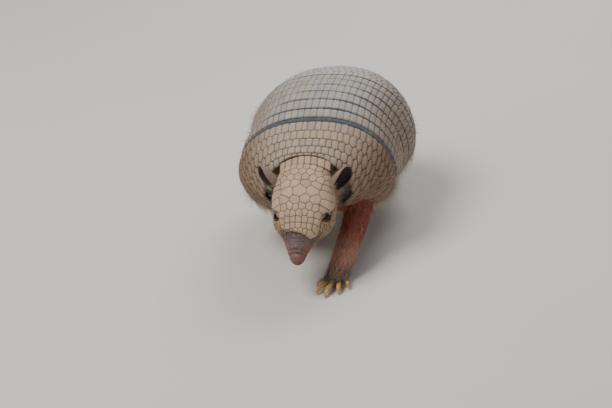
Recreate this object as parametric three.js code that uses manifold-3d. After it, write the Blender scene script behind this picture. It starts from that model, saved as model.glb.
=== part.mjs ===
// A life-size six-banded armadillo, walking, with its left forefoot reaching forward and its head low.
// Millimetres. The animal faces -Y, its left side is +X, and +Z is up. The floor is Z = 0.
import * as THREE from "three";
import { mergeVertices } from "three/addons/utils/BufferGeometryUtils.js";
import Module from "manifold-3d";

const wasm = await Module();
wasm.setup();

const SIDES = { left: 1, right: -1 };
const GAP = 0.3; // clearance between neighbouring pieces
const rad = THREE.MathUtils.degToRad;
const { clamp, lerp } = THREE.MathUtils;
const vec = (x, y, z) => new THREE.Vector3(x, y, z);

// ---------------------------------------------------------------- driving dimensions

// The back, measured in mm along its midline from the front rim of the shoulder shield.
const BACK_LENGTH = 292;
const BACK_START = { y: -115, z: 138 };
const BACK_SLOPE = [[0, 33], [27, 27.5], [54, 24.5], [85, 14], [118, 1.5], [150, -6.5], [200, -16],
  [225, -33], [250, -58], [275, -76], [292, -84]]; // degrees up from level, going back
const HALF_WIDTH = [[0, 53], [27, 80.5], [54, 94.5], [100, 93.5], [150, 100], [200, 94.5], [240, 76],
  [270, 52], [292, 31]];
// Where the flank is widest, at each station along the back.
const FLANK_Y = [[0, -119], [54, -67], [150, 28], [240, 86], [292, 108]];
const FLANK_Z = [[0, 91], [54, 93.5], [150, 91.5], [240, 82], [292, 70]];
// How far round from the midline the plates reach, in degrees, and how much their edge tucks in
// under the body.
const SHELL_EDGE = [[0, 106], [20, 112], [54, 114], [100, 109], [150, 105], [292, 102]];
const EDGE_TUCK = [[0, 0.75], [30, 0.3], [54, 0.12], [110, 0.05], [292, 0.05]];
const PLATE = 3.2; // thickness of the body plates

const SHOULDER_END = 53;
const FIRST_BAND = 57.5;
const FOLD_END = 60.3; // front edge of band 1, which is narrower than the others
const BAND_PITCH = 17.2;
const BAND_COUNT = 6;
const BAND_GAP = 1.2;
const BAND_SINK = 0.9; // how far the front of each band lies under the rear of the one before
const PELVIC_START = FIRST_BAND + BAND_COUNT * BAND_PITCH;
const NAPE_NOTCH = { depth: 5, share: 0.34 };
const SHOULDER_FOLD = { depth: 1.8, thickness: 3.4 };

// Underside of the trunk, at the same stations.
const BELLY_Y = [[0, -100], [54, -62], [150, 26], [240, 80], [292, 104]];
const BELLY_Z = [[0, 70], [30, 50], [80, 41], [150, 38], [225, 44], [292, 66]];

// The head has its own frame: x to its left, l forward from the rear edge of the head shield, z up.
const HEAD_PLACE = vec(1.4, -119.3, 132.9);
const HEAD_YAW = rad(-2.2);
const HEAD_PITCH = rad(40.3);
const HEAD_ROLL = rad(3);
const HEAD_BACK = -13;
const HEAD_LENGTH = 117;
const SNOUT_START = 86;
const HEAD_HALF_WIDTH = [[-13, 26], [0, 30.5], [12, 33.5], [26, 36], [40, 37.4], [55, 36.6], [66, 35],
  [73, 32.3], [79, 27], [86, 20], [93, 15.5], [101, 11.8], [109, 8.8], [117, 7]];
// x of the head's middle line, which isn't quite straight.
const HEAD_BEND = [[-13, 0], [30, 0], [62, 1.5], [80, 1], [97, -1.2], [110, -0.4], [117, 0]];
const HEAD_TOP = [[-13, -6], [0, -1.5], [12, 2.5], [26, 5.3], [40, 6.3], [54, 5.7], [64, 3.8], [74, 1],
  [84, -2.3], [94, -5.4], [104, -7.8], [117, -9.4]];
const HEAD_BOTTOM = [[-13, -36], [0, -41], [12, -45], [26, -46], [40, -44.5], [54, -42], [66, -39],
  [76, -35.5], [86, -32], [96, -29], [106, -26], [117, -23]];
const HEAD_SQUARENESS = 2.2; // 2 is round in section, and more is squarer
const CHEEK_LEVEL = 0.48; // depth of the widest line, as a share of the head's height
const HEAD_SHIELD = 2.2;
const HEAD_SHIELD_LIFT = 1; // clearance under it, over the rounded top of the head
const HEAD_SHIELD_LENGTH = 83.5;
const HEAD_SHIELD_HALF_WIDTH = [[0, 29.5], [10, 33], [22, 35.5], [33, 37.3], [43, 36.6], [54, 34],
  [66, 28], [76, 22.5], [83.5, 14]];
// The corners of the notch in the shield over each eye, as [x, l].
const EYE_NOTCH = {
  rearInner: [25, 58.5],
  rearOuter: [45, 50],
  frontInner: [23.5, 75],
  frontOuter: [45, 85],
};
const HEAD_SHIELD_REAR_BOW = 6; // how far the rear corners lie in front of the middle of the rear edge
const HEAD_SHIELD_FRONT_BOW = 2;
const HEAD_SHIELD_SLANT = 3.5; // how much further forward its left front corner reaches
const EYE = { x: 27.8, l: 62, z: -7.5, radius: 5.2 };
const EAR = { base: { x: 30, l: 21, z: -15 }, tip: { x: 55, l: 9.5, z: 2.5 } };

// ---------------------------------------------------------------- curves and solids

/** A smooth curve through [station, value] pairs, held level past both ends. */
function track(pairs) {
  const slope = pairs.map(([, v], i) => {
    if (i === 0 || i === pairs.length - 1) return 0;
    const [before, after] = [pairs[i - 1], pairs[i + 1]];
    return (after[1] - before[1]) / (after[0] - before[0]);
  });
  slope[0] = (pairs[1][1] - pairs[0][1]) / (pairs[1][0] - pairs[0][0]);
  slope[slope.length - 1] = (pairs.at(-1)[1] - pairs.at(-2)[1]) / (pairs.at(-1)[0] - pairs.at(-2)[0]);
  return (at) => {
    const x = clamp(at, pairs[0][0], pairs.at(-1)[0]);
    const i = Math.min(pairs.findLastIndex(([s]) => s <= x), pairs.length - 2);
    const [s0, v0] = pairs[i];
    const [s1, v1] = pairs[i + 1];
    const h = s1 - s0;
    const t = (x - s0) / h;
    return v0 * (1 + 2 * t) * (1 - t) ** 2 + v1 * t * t * (3 - 2 * t)
      + h * (slope[i] * t * (1 - t) ** 2 - slope[i + 1] * t * t * (1 - t));
  };
}

/** Moves every vertex of a geometry by a function of its own place. */
function warp(geometry, place) {
  const at = geometry.attributes.position;
  for (let i = 0; i < at.count; i++) {
    const p = place(vec(at.getX(i), at.getY(i), at.getZ(i)));
    at.setXYZ(i, p.x, p.y, p.z);
  }
  return geometry;
}

/** A closed geometry as a solid with its faces pointing out. */
function solidOf(geometry) {
  const bare = geometry.clone();
  bare.deleteAttribute("normal");
  bare.deleteAttribute("uv");
  const merged = mergeVertices(bare, 1e-3);
  const vertProperties = merged.attributes.position.array;
  const mesh = (triVerts) => new wasm.Manifold(new wasm.Mesh({ numProp: 3, vertProperties, triVerts }));
  const made = mesh(new Uint32Array(merged.index.array));
  return made.volume() > 0 ? made : mesh(new Uint32Array(merged.index.array).reverse());
}

const group = new THREE.Group();

/** Adds the largest piece of a solid to the model, as a named mesh. */
function add(name, solid, material) {
  const whole = solid.decompose().reduce((a, b) => (a.volume() > b.volume() ? a : b));
  const { vertProperties, triVerts } = whole.getMesh();
  const geometry = new THREE.BufferGeometry();
  geometry.setAttribute("position", new THREE.BufferAttribute(vertProperties, 3));
  geometry.setIndex(new THREE.BufferAttribute(triVerts, 1));
  geometry.computeVertexNormals();
  const mesh = new THREE.Mesh(geometry, material);
  mesh.name = name;
  group.add(mesh);
}

const box = (low, high) =>
  solidOf(new THREE.BoxGeometry(high.x - low.x, high.y - low.y, high.z - low.z)
    .translate((low.x + high.x) / 2, (low.y + high.y) / 2, (low.z + high.z) / 2));

/** A closed tube: place(t, angle) gives its wall, and its flat ends lie at t = 0 and t = 1. */
function tube(around, along, place) {
  return solidOf(warp(new THREE.CylinderGeometry(1, 1, 1, around, along), (v) => {
    const t = (1 - Math.cos(Math.PI * (v.y + 0.5))) / 2;
    if (Math.hypot(v.x, v.z) > 0.5) return place(t, Math.atan2(v.x, v.z));
    const rim = [0, 1, 2, 3].map((quarter) => place(t, (quarter * Math.PI) / 2));
    return rim.reduce((sum, p) => sum.add(p), vec(0, 0, 0)).multiplyScalar(1 / rim.length);
  }));
}

/** A curved sheet: place(u, v, depth), with u from -1 to 1, v from 0 to 1 and depth 0 outside. */
function sheet(across, along, thickness, place) {
  return solidOf(warp(new THREE.BoxGeometry(2, 1, 1, across, 1, along), (v) =>
    place(v.x, v.z + 0.5, v.y > 0 ? 0 : thickness)));
}

/**
 * A limb, toe, claw or tail: round sections along a curve, rounded at both ends.
 * Sizes are [t, half width, half depth], and side is the way that the width lies.
 */
function limb({ path, sizes, around = 12, along = 8, side = vec(1, 0, 0), round = 0.12, grow = 0 }) {
  const curve = new THREE.CatmullRomCurve3(path, false, "centripetal");
  const width = track(sizes.map(([t, w]) => [t, w]));
  const depth = track(sizes.map(([t, , d]) => [t, d]));
  return tube(around, along, (t, angle) => {
    const forward = curve.getTangentAt(t);
    const across = side.clone().addScaledVector(forward, -side.dot(forward)).normalize();
    const up = across.clone().cross(forward);
    const end = Math.min(1, t / round, (1 - t) / round);
    const taper = Math.sqrt(Math.max(0.06, 1 - (1 - end) ** 2));
    return curve.getPointAt(t)
      .addScaledVector(across, Math.sin(angle) * (width(t) * taper + grow))
      .addScaledVector(up, Math.cos(angle) * (depth(t) * taper + grow));
  });
}

// ---------------------------------------------------------------- the armoured back

const slopeAt = track(BACK_SLOPE);
const halfWidth = track(HALF_WIDTH);
const flankY = track(FLANK_Y);
const flankZ = track(FLANK_Z);
const shellEdge = track(SHELL_EDGE);
const edgeTuck = track(EDGE_TUCK);

/** The midline of the back in side view, added up a millimetre at a time. */
const midline = [vec(0, BACK_START.y, BACK_START.z)];
for (let s = 0; s < BACK_LENGTH + 5; s++) {
  const slope = rad(slopeAt(s + 0.5));
  midline.push(midline[s].clone().add(vec(0, Math.cos(slope), Math.sin(slope))));
}
function midlineAt(s) {
  const i = clamp(Math.floor(s), 0, midline.length - 2);
  return midline[i].clone().lerp(midline[i + 1], s - i);
}

const raised = (x, power) => Math.sign(x) * Math.abs(x) ** power;

/** The outer surface of the shell: s along the midline, phi round from it. */
function shellSurface(s, phi) {
  const top = midlineAt(s);
  const drop = raised(1 - Math.cos(phi), 1.06);
  return vec(
    halfWidth(s) * raised(Math.sin(phi), 0.92) * (1 - edgeTuck(s) * Math.max(0, drop - 1)),
    lerp(top.y, flankY(s), drop),
    lerp(top.z, flankZ(s), drop),
  );
}

/** The same surface, sunk by a depth along its own normal. */
function shellPoint(s, phi, depth) {
  const step = 0.02;
  const at = clamp(s, 0.5, BACK_LENGTH - 0.5);
  const alongBack = shellSurface(at + 0.5, phi).sub(shellSurface(at - 0.5, phi));
  const aroundBack = shellSurface(s, phi + step).sub(shellSurface(s, phi - step));
  const outward = alongBack.cross(aroundBack).normalize();
  if (outward.dot(vec(Math.sin(phi), 0, Math.cos(phi))) < 0) outward.negate();
  return shellSurface(s, phi).addScaledVector(outward, -depth);
}

/** How far back the front edge of the shell lies at the nape, at a share u of its half width. */
const napeNotch = (u) => NAPE_NOTCH.depth * Math.max(0, 1 - (u / NAPE_NOTCH.share) ** 2);

/** A piece of the shell from one station to another, with its front sunk under its neighbour. */
function plate(from, to, { across = 20, along = 1, sink = 0, grow = 0 } = {}) {
  return sheet(across, along, PLATE + 2 * grow, (u, v, depth) => {
    const s = lerp(from - grow + (from === 0 ? napeNotch(u) : 0), to + grow, v);
    return shellPoint(s, u * (rad(shellEdge(s)) + grow / 90), depth - grow + sink * (1 - v));
  });
}

/** The ridge of skin between the shoulder shield and the first band. */
function shoulderFold() {
  const { depth: top, thickness } = SHOULDER_FOLD;
  return sheet(20, 1, thickness, (u, v, depth) => {
    const s = lerp(SHOULDER_END + GAP, FOLD_END - GAP, v);
    return shellPoint(s, u * rad(shellEdge(s)), top + depth);
  });
}

// ---------------------------------------------------------------- trunk

const bellyY = track(BELLY_Y);
const bellyZ = track(BELLY_Z);
const TRUNK_DEPTH = PLATE + BAND_SINK + 1.4;
const TRUNK_STEPS = { shell: 9, belly: 5 }; // facets on each side, inside the shell and below its edge

function trunk(grow = 0) {
  const { shell, belly } = TRUNK_STEPS;
  const share = shell / (shell + belly);
  return tube(2 * (shell + belly), 13, (t, angle) => {
    const s = lerp(2, BACK_LENGTH - 3, t);
    const turn = Math.abs(angle) / Math.PI;
    const reach = Math.sign(angle) * rad(shellEdge(s));
    if (turn < share + 0.001) return shellPoint(s, (reach * turn) / share, TRUNK_DEPTH - grow);
    const edge = shellPoint(s, reach, TRUNK_DEPTH - grow);
    const under = ((turn - share) / (1 - share)) * (Math.PI / 2);
    return vec(
      edge.x * raised(Math.cos(under), 0.7),
      lerp(edge.y, bellyY(s), Math.sin(under)),
      lerp(edge.z, bellyZ(s) - grow, raised(Math.sin(under), 0.8)),
    );
  });
}

// ---------------------------------------------------------------- head and neck

const headTurn = new THREE.Matrix4().makeRotationZ(HEAD_YAW)
  .multiply(new THREE.Matrix4().makeRotationX(HEAD_PITCH))
  .multiply(new THREE.Matrix4().makeRotationY(HEAD_ROLL))
  .setPosition(HEAD_PLACE);
/** A place in the head's own frame. */
const inHead = (x, l, z) => vec(x, -l, z).applyMatrix4(headTurn);

const headHalfWidth = track(HEAD_HALF_WIDTH);
const headBend = track(HEAD_BEND);
const headTop = track(HEAD_TOP);
const headBottom = track(HEAD_BOTTOM);

/** The height of the top of the head over a point of its plan. */
function headSurface(x, l) {
  const middle = lerp(headTop(l), headBottom(l), CHEEK_LEVEL);
  const share = Math.min(0.998, Math.abs(x - headBend(l)) / headHalfWidth(l));
  return middle + (headTop(l) - middle) * (1 - share ** HEAD_SQUARENESS) ** (1 / HEAD_SQUARENESS);
}

function headSolid(grow = 0) {
  return tube(16, 13, (t, angle) => {
    const l = lerp(HEAD_BACK, HEAD_LENGTH, t);
    const end = clamp((HEAD_LENGTH - l) / 9, 0.03, 1);
    const blunt = Math.sqrt(1 - (1 - end) ** 2);
    const top = headTop(l);
    const bottom = headBottom(l);
    const middle = lerp(top, bottom, CHEEK_LEVEL);
    const reach = (Math.cos(angle) > 0 ? top - middle : middle - bottom) * blunt + grow;
    const power = 2 / HEAD_SQUARENESS;
    return inHead(
      headBend(l) + raised(Math.sin(angle), power) * (headHalfWidth(l) * blunt + grow),
      l + grow,
      middle + raised(Math.cos(angle), power) * reach,
    );
  });
}

/** A slab square to the head's length, for parting the head. */
const headSlab = (from, to) =>
  solidOf(warp(new THREE.BoxGeometry(140, 1, 140), (v) => inHead(v.x, v.y > 0 ? to : from, v.z)));

const shieldHalfWidth = track(HEAD_SHIELD_HALF_WIDTH);
function headShield(grow = 0) {
  return sheet(8, 10, HEAD_SHIELD + 2 * grow, (u, v, depth) => {
    const l = v * HEAD_SHIELD_LENGTH;
    const bow = u * u * lerp(HEAD_SHIELD_REAR_BOW, HEAD_SHIELD_FRONT_BOW, v) + u * HEAD_SHIELD_SLANT * v ** 4;
    const x = headBend(l + bow) + u * shieldHalfWidth(l);
    return inHead(x, l + bow, headSurface(x, l + bow) + HEAD_SHIELD_LIFT + HEAD_SHIELD + grow - depth);
  });
}

/** The part of the head shield cut away over an eye. */
function eyeNotch(side) {
  const { rearInner, rearOuter, frontInner, frontOuter } = EYE_NOTCH;
  return solidOf(warp(new THREE.BoxGeometry(1, 1, 1), (v) => {
    const outer = v.x > 0;
    const rear = outer ? rearOuter : rearInner;
    const front = outer ? frontOuter : frontInner;
    const [x, l] = v.y < 0 ? rear : front;
    return inHead(side * x, l, v.z * 80);
  }));
}

const NECK = [
  // y and z of the centre, half width, half height
  [-140, 96, 28, 24],
  [-122, 98, 37, 29],
  [-100, 98, 44, 34],
];
function neck(grow = 0) {
  const [y, z, w, h] = [0, 1, 2, 3].map((k) => track(NECK.map((row, i) => [i, row[k]])));
  return tube(14, 2, (t, angle) => {
    const i = t * (NECK.length - 1);
    return vec(Math.sin(angle) * (w(i) + grow), y(i), z(i) + Math.cos(angle) * (h(i) + grow));
  });
}

const NUCHAL = {
  middle: 1.6, // x of its middle
  halfWidth: 30,
  drop: 7.8, // how much lower its corners lie
  sweep: 3.8, // how much further forward they lie
  front: { y: -120.3, z: 132.8 },
  rear: { y: -112.2, z: 140.3 },
};
/** The single row of plates across the nape, between the head shield and the shoulder shield. */
function nuchalBand(grow = 0, thickness = HEAD_SHIELD) {
  const { middle, halfWidth, drop, sweep, front, rear } = NUCHAL;
  const run = vec(0, rear.y - front.y, rear.z - front.z).normalize();
  return sheet(6, 1, thickness + grow, (u, v, depth) =>
    vec(
      middle + u * (halfWidth + grow),
      lerp(front.y, rear.y, v) - u * u * sweep,
      lerp(front.z, rear.z, v) - u * u * drop,
    )
      .addScaledVector(run, (v * 2 - 1) * grow)
      .addScaledVector(vec(0, -run.z, run.y), grow - depth));
}

function eyeball(side, grow = 0) {
  const at = inHead(headBend(EYE.l) + side * EYE.x, EYE.l, EYE.z);
  return solidOf(new THREE.SphereGeometry(EYE.radius + grow, 9, 6).translate(at.x, at.y, at.z));
}

const earTurn = track([[0, 165], [0.3, 128], [0.55, 108], [0.8, 82], [0.93, 52], [1, 22]]);
const earRadius = track([[0, 5.4], [0.35, 8.8], [0.7, 10.8], [1, 9.6]]);
const EAR_WALL = 1.7;
const EAR_ROOT = 5; // how far the ear starts inside the head
/** A funnel-shaped ear, open outwards and forwards. */
function ear(side) {
  const base = inHead(side * EAR.base.x, EAR.base.l, EAR.base.z);
  const axis = inHead(side * EAR.tip.x, EAR.tip.l, EAR.tip.z).sub(base);
  const length = axis.length();
  axis.normalize();
  const mouth = vec(side * 0.8, -0.6, 0);
  mouth.addScaledVector(axis, -mouth.dot(axis)).normalize();
  const across = axis.clone().cross(mouth);
  return sheet(7, 4, EAR_WALL, (u, v, depth) => {
    const turn = u * rad(earTurn(v));
    const radius = earRadius(v) - depth;
    return base.clone()
      .addScaledVector(axis, (length + EAR_ROOT) * v - EAR_ROOT)
      .addScaledVector(mouth, 2 - Math.cos(turn) * radius)
      .addScaledVector(across, Math.sin(turn) * radius);
  });
}

// ---------------------------------------------------------------- legs, feet and claws

// Each leg has an upper part, to elbow or knee, and a lower part, to wrist or ankle, with the half
// widths at their ends. Each foot is given by its heel and the root of its middle toe.
const LEGS = {
  foreleg_left: {
    side: 1,
    upper: { path: [vec(42, -74, 90), vec(51, -97, 60)], ends: [24, 16.5] },
    lower: {
      path: [vec(51, -97, 60), vec(46.5, -121, 44), vec(39.5, -142, 28), vec(34, -153, 14)],
      ends: [16.5, 13],
    },
    heel: vec(36, -149, 9.5), ball: vec(30, -168, 8.5),
  },
  foreleg_right: {
    side: -1,
    upper: { path: [vec(-42, -72, 90), vec(-54, -56, 58)], ends: [24, 17] },
    lower: { path: [vec(-54, -56, 58), vec(-50, -43, 38), vec(-41, -24, 14)], ends: [17, 12] },
    heel: vec(-41, -20, 9.5), ball: vec(-38, -39, 8.5),
  },
  hindleg_left: {
    side: 1,
    upper: { path: [vec(38, 88, 70), vec(53, 74, 47)], ends: [28, 19] },
    lower: { path: [vec(53, 74, 47), vec(52, 94, 30), vec(48, 112, 13)], ends: [18.5, 12] },
    heel: vec(48, 117, 9.5), ball: vec(44, 86, 8.5),
  },
  hindleg_right: {
    side: -1,
    upper: { path: [vec(-40, 62, 72), vec(-58, 30, 48)], ends: [28, 19] },
    lower: { path: [vec(-58, 30, 48), vec(-57, 46, 30), vec(-54, 59, 13)], ends: [18.5, 12] },
    heel: vec(-54, 63, 9.5), ball: vec(-55, 30, 8.5),
  },
};

// Toes from the inner side of the foot outwards: the spread in degrees, the lengths of toe and claw,
// and the claw's half width.
const FORE_TOES = [
  { spread: -36, toe: 7, claw: 11, half: 2 },
  { spread: -15, toe: 10, claw: 19, half: 2.8 },
  { spread: 3, toe: 10.5, claw: 20, half: 3 },
  { spread: 22, toe: 9, claw: 15, half: 2.6 },
  { spread: 44, toe: 6, claw: 9, half: 2 },
];
const HIND_TOES = [
  { spread: -28, toe: 7.5, claw: 9, half: 2.1 },
  { spread: -12, toe: 9.5, claw: 12, half: 2.5 },
  { spread: 2, toe: 10, claw: 13, half: 2.7 },
  { spread: 16, toe: 9, claw: 12, half: 2.5 },
  { spread: 32, toe: 7, claw: 9, half: 2 },
];
const FORE_FOOT = 13; // half width across the roots of the toes
const HIND_FOOT = 13.5;
const TOE_HEIGHT = 5.2;
const CLAW_TIP_HEIGHT = 1.9;
const ANKLE_HEIGHT = 20; // where the lower leg meets the foot

/** Both parts of a leg, each run past the joint between them so that elbow and knee are full. */
function legLimb({ upper, lower }) {
  const made = [upper, lower].map(({ path, ends }, i) => {
    const joint = i ? 0 : path.length - 1;
    const inward = path[i ? 1 : joint - 1];
    const run = path.map((p) => p.clone());
    run[joint].addScaledVector(path[joint].clone().sub(inward).normalize(), ends[i ? 0 : 1] * 0.6);
    const sizes = [[0, ends[0], ends[0]], [1, ends[1], ends[1]]];
    return limb({ path: run, sizes, around: 10, along: 5, round: 0.2 });
  });
  return made[0].add(made[1]);
}

/** The horizontal directions of a toe: straight ahead, along the toe, and across it. */
function toeFrame(leg, spread) {
  const ahead = leg.ball.clone().sub(leg.heel).setZ(0).normalize();
  const along = ahead.clone().applyAxisAngle(vec(0, 0, 1), rad(leg.side * spread));
  return { ahead, along, across: along.clone().cross(vec(0, 0, 1)).normalize() };
}

function toeRoot(leg, toe, halfWidth) {
  const { ahead } = toeFrame(leg, toe.spread);
  const outward = ahead.clone().cross(vec(0, 0, 1)).multiplyScalar(-leg.side);
  const offset = (toe.spread / 36) * halfWidth * 0.72;
  return leg.ball.clone().addScaledVector(outward, offset).addScaledVector(ahead, -Math.abs(offset) * 0.45);
}

function toeLimb(leg, toe, halfWidth, grow = 0) {
  const { along, across } = toeFrame(leg, toe.spread);
  const root = toeRoot(leg, toe, halfWidth).addScaledVector(along, -5);
  const tip = root.clone().addScaledVector(along, toe.toe + 5).setZ(TOE_HEIGHT);
  const half = toe.half + 1.8;
  return limb({
    path: [root, root.clone().lerp(tip, 0.55).setZ(TOE_HEIGHT + 3), tip],
    sizes: [[0, half, half], [1, half * 0.92, half]], around: 5, along: 2, side: across, round: 0.34, grow,
  });
}

function claw(leg, toe, halfWidth) {
  const { along, across } = toeFrame(leg, toe.spread);
  const root = toeRoot(leg, toe, halfWidth).addScaledVector(along, toe.toe - 3).setZ(TOE_HEIGHT + 2);
  const middle = root.clone().addScaledVector(along, toe.claw * 0.55 + 2);
  const tip = root.clone().addScaledVector(along, toe.claw + 2).setZ(CLAW_TIP_HEIGHT);
  const half = toe.half;
  return limb({
    path: [root, middle, tip],
    sizes: [[0, half, half * 0.9], [0.5, half * 0.86, half * 0.8], [1, half * 0.35, half * 0.35]],
    around: 5, along: 2, side: across, round: 0.06,
  });
}

function paw(leg, halfWidth, grow = 0) {
  const reach = leg.ball.clone().sub(leg.heel).setZ(0);
  const across = reach.clone().normalize().cross(vec(0, 0, 1));
  const heel = leg.heel.clone().addScaledVector(reach, -0.15);
  const ball = leg.ball.clone().addScaledVector(reach, 0.12);
  return limb({
    path: [heel, heel.clone().lerp(ball, 0.5).add(vec(0, 0, 1.2)), ball],
    sizes: [[0, halfWidth * 0.84, 10.5], [0.5, halfWidth * 0.95, 11.5], [1, halfWidth, 9.5]],
    around: 8, along: 4, side: across, round: 0.28, grow,
  });
}

const pawAndToes = (leg, toes, halfWidth, grow = 0) =>
  toes.reduce((made, toe) => made.add(toeLimb(leg, toe, halfWidth, grow)), paw(leg, halfWidth, grow));

// ---------------------------------------------------------------- tail

const TAIL_PATH = [vec(0, 92, 88), vec(0, 122, 82), vec(3, 164, 52), vec(9, 220, 26), vec(17, 290, 15)];
const TAIL_SIZES = [[0, 20, 20], [0.16, 18.5, 18.5], [0.35, 14, 14], [0.65, 9.5, 9.5], [1, 4.5, 4.5]];
const TAIL_PART = 158; // Y of the cut between the ringed base and the rest
const tailLimb = () => limb({ path: TAIL_PATH, sizes: TAIL_SIZES, around: 10, along: 11, round: 0.04 });

// ---------------------------------------------------------------- assembly

const finish = (color, roughness) => new THREE.MeshStandardMaterial({ color, roughness, metalness: 0 });
const MATERIALS = {
  shell: finish("#a08a75", 0.62),
  headShield: finish("#b39a80", 0.6),
  skin: finish("#7d6558", 0.75),
  leg: finish("#8f4a33", 0.7),
  snout: finish("#8a5f57", 0.55),
  ear: finish("#7a665a", 0.7),
  eye: finish("#150f0c", 0.1),
  claw: finish("#b98e45", 0.45),
};

const pelvicShield = (grow = 0) => plate(PELVIC_START, BACK_LENGTH, { along: 7, grow });

function buildShell() {
  add("shoulder_shield", plate(0, SHOULDER_END, { along: 4 }), MATERIALS.shell);
  for (let i = 0; i < BAND_COUNT; i++) {
    const from = i ? FIRST_BAND + i * BAND_PITCH : FOLD_END;
    const to = FIRST_BAND + (i + 1) * BAND_PITCH - BAND_GAP;
    add(`band_${i + 1}`, plate(from, to, { sink: BAND_SINK }), MATERIALS.shell);
  }
  add("pelvic_shield", pelvicShield(), MATERIALS.shell);
}

function buildHead(body) {
  const rearSlab = headSlab(HEAD_BACK - 20, HEAD_BACK + 4);
  const eyes = eyeball(1, GAP).add(eyeball(-1, GAP));
  const nuchal = nuchalBand(GAP, 30);
  const taken = [rearSlab, body, nuchal, eyes, headShield(GAP)];
  const head = taken.reduce((left, part) => left.subtract(part), headSolid());
  const snoutSlab = headSlab(SNOUT_START, HEAD_LENGTH + 20);
  add("head", head.subtract(headSlab(SNOUT_START - GAP, HEAD_LENGTH + 20)), MATERIALS.skin);
  add("snout", head.intersect(snoutSlab), MATERIALS.snout);
  const shield = headShield().subtract(eyeNotch(1)).subtract(eyeNotch(-1)).subtract(body);
  add("head_shield", shield, MATERIALS.headShield);
  add("nuchal_band", nuchalBand().subtract(headShield(GAP)).subtract(body), MATERIALS.headShield);
  const around = headSolid(GAP).add(nuchal).add(body).add(headShield(GAP));
  add("neck", neck().subtract(around), MATERIALS.skin);
  for (const [word, side] of Object.entries(SIDES)) {
    add(`eye_${word}`, eyeball(side), MATERIALS.eye);
    add(`ear_${word}`, ear(side).subtract(around).subtract(neck(GAP)), MATERIALS.ear);
  }
}

const below = (z) => box(vec(-400, -400, -50), vec(400, 500, z));
const above = (z) => box(vec(-400, -400, z), vec(400, 500, 400));

function buildLegs(body) {
  const neckRoom = neck(GAP);
  for (const [name, leg] of Object.entries(LEGS)) {
    const [toes, halfWidth] = name.startsWith("fore") ? [FORE_TOES, FORE_FOOT] : [HIND_TOES, HIND_FOOT];
    const free = legLimb(leg).subtract(body).subtract(neckRoom);
    const upper = free.subtract(below(ANKLE_HEIGHT + GAP)).subtract(paw(leg, halfWidth, GAP));
    add(name, upper, MATERIALS.leg);
    const claws = toes.map((toe) => claw(leg, toe, halfWidth));
    const foot = pawAndToes(leg, toes, halfWidth).add(free.intersect(below(ANKLE_HEIGHT)));
    add(`${name}_foot`, foot.intersect(above(0)), MATERIALS.leg);
    const room = pawAndToes(leg, toes, halfWidth, GAP);
    claws.forEach((made, i) => add(`${name}_claw_${i + 1}`, made.subtract(room), MATERIALS.claw));
  }
}

function buildTail(body) {
  const tail = tailLimb().subtract(body);
  add("tail_base", tail.subtract(box(vec(-100, TAIL_PART, -50), vec(100, 500, 300))), MATERIALS.shell);
  add("tail_tip", tail.subtract(box(vec(-100, -100, -50), vec(100, TAIL_PART + GAP, 300))), MATERIALS.shell);
}

const hull = plate(0, BACK_LENGTH, { along: 14, grow: GAP + BAND_SINK });
const body = trunk(GAP).add(hull).add(pelvicShield(3 * GAP));
buildShell();
add("trunk", trunk(), MATERIALS.skin);
add("shoulder_fold", shoulderFold().subtract(trunk(GAP)), MATERIALS.skin);
buildHead(body);
buildLegs(body);
buildTail(body);

// The origin is under the middle of the whole model, on the floor.
const bounds = new THREE.Box3().setFromObject(group);
group.position.set(-(bounds.min.x + bounds.max.x) / 2, -(bounds.min.y + bounds.max.y) / 2, 0);

export default group;
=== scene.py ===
"""A six-banded armadillo, walking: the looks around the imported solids.

Sizes are in millimetres in the animal's own frame, as in the solids: it faces -Y, its left is +X and +Z is
up. Every mesh is made in metres in the row frame. s runs along the midline of the back, phi round the shell
from it, and x, l and z are the head's own frame, with l forward from the rear edge of its shield.
"""

import math

import bmesh
import bpy
import numpy as np
from mathutils import Matrix, Vector, noise
from mathutils.kdtree import KDTree


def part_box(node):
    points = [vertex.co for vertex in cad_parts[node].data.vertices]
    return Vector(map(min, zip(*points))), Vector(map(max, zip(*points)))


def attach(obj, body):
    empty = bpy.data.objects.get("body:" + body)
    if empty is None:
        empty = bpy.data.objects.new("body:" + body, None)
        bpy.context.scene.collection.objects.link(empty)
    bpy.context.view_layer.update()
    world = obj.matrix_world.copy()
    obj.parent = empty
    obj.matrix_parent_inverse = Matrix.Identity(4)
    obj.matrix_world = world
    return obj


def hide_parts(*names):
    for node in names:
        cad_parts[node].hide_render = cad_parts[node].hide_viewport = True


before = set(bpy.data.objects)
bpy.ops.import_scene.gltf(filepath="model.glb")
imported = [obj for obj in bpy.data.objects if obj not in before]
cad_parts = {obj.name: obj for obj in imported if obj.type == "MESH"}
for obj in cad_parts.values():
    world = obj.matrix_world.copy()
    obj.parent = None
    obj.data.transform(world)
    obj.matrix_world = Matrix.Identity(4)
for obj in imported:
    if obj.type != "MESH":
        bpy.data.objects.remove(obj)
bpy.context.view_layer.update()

MM = 0.001
SEED = 6
HEAD_SHIELD_DRAWS, NUCHAL_DRAWS, SKIN_DRAWS, SHELL_HAIR_DRAWS, COAT_DRAWS = 2, 3, 7, 11, 20
SIDES = (1, -1)
UPWARD = np.array([0, 0, 1.0])

# ---------------------------------------------------------------- dimensions, as in the solids

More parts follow.
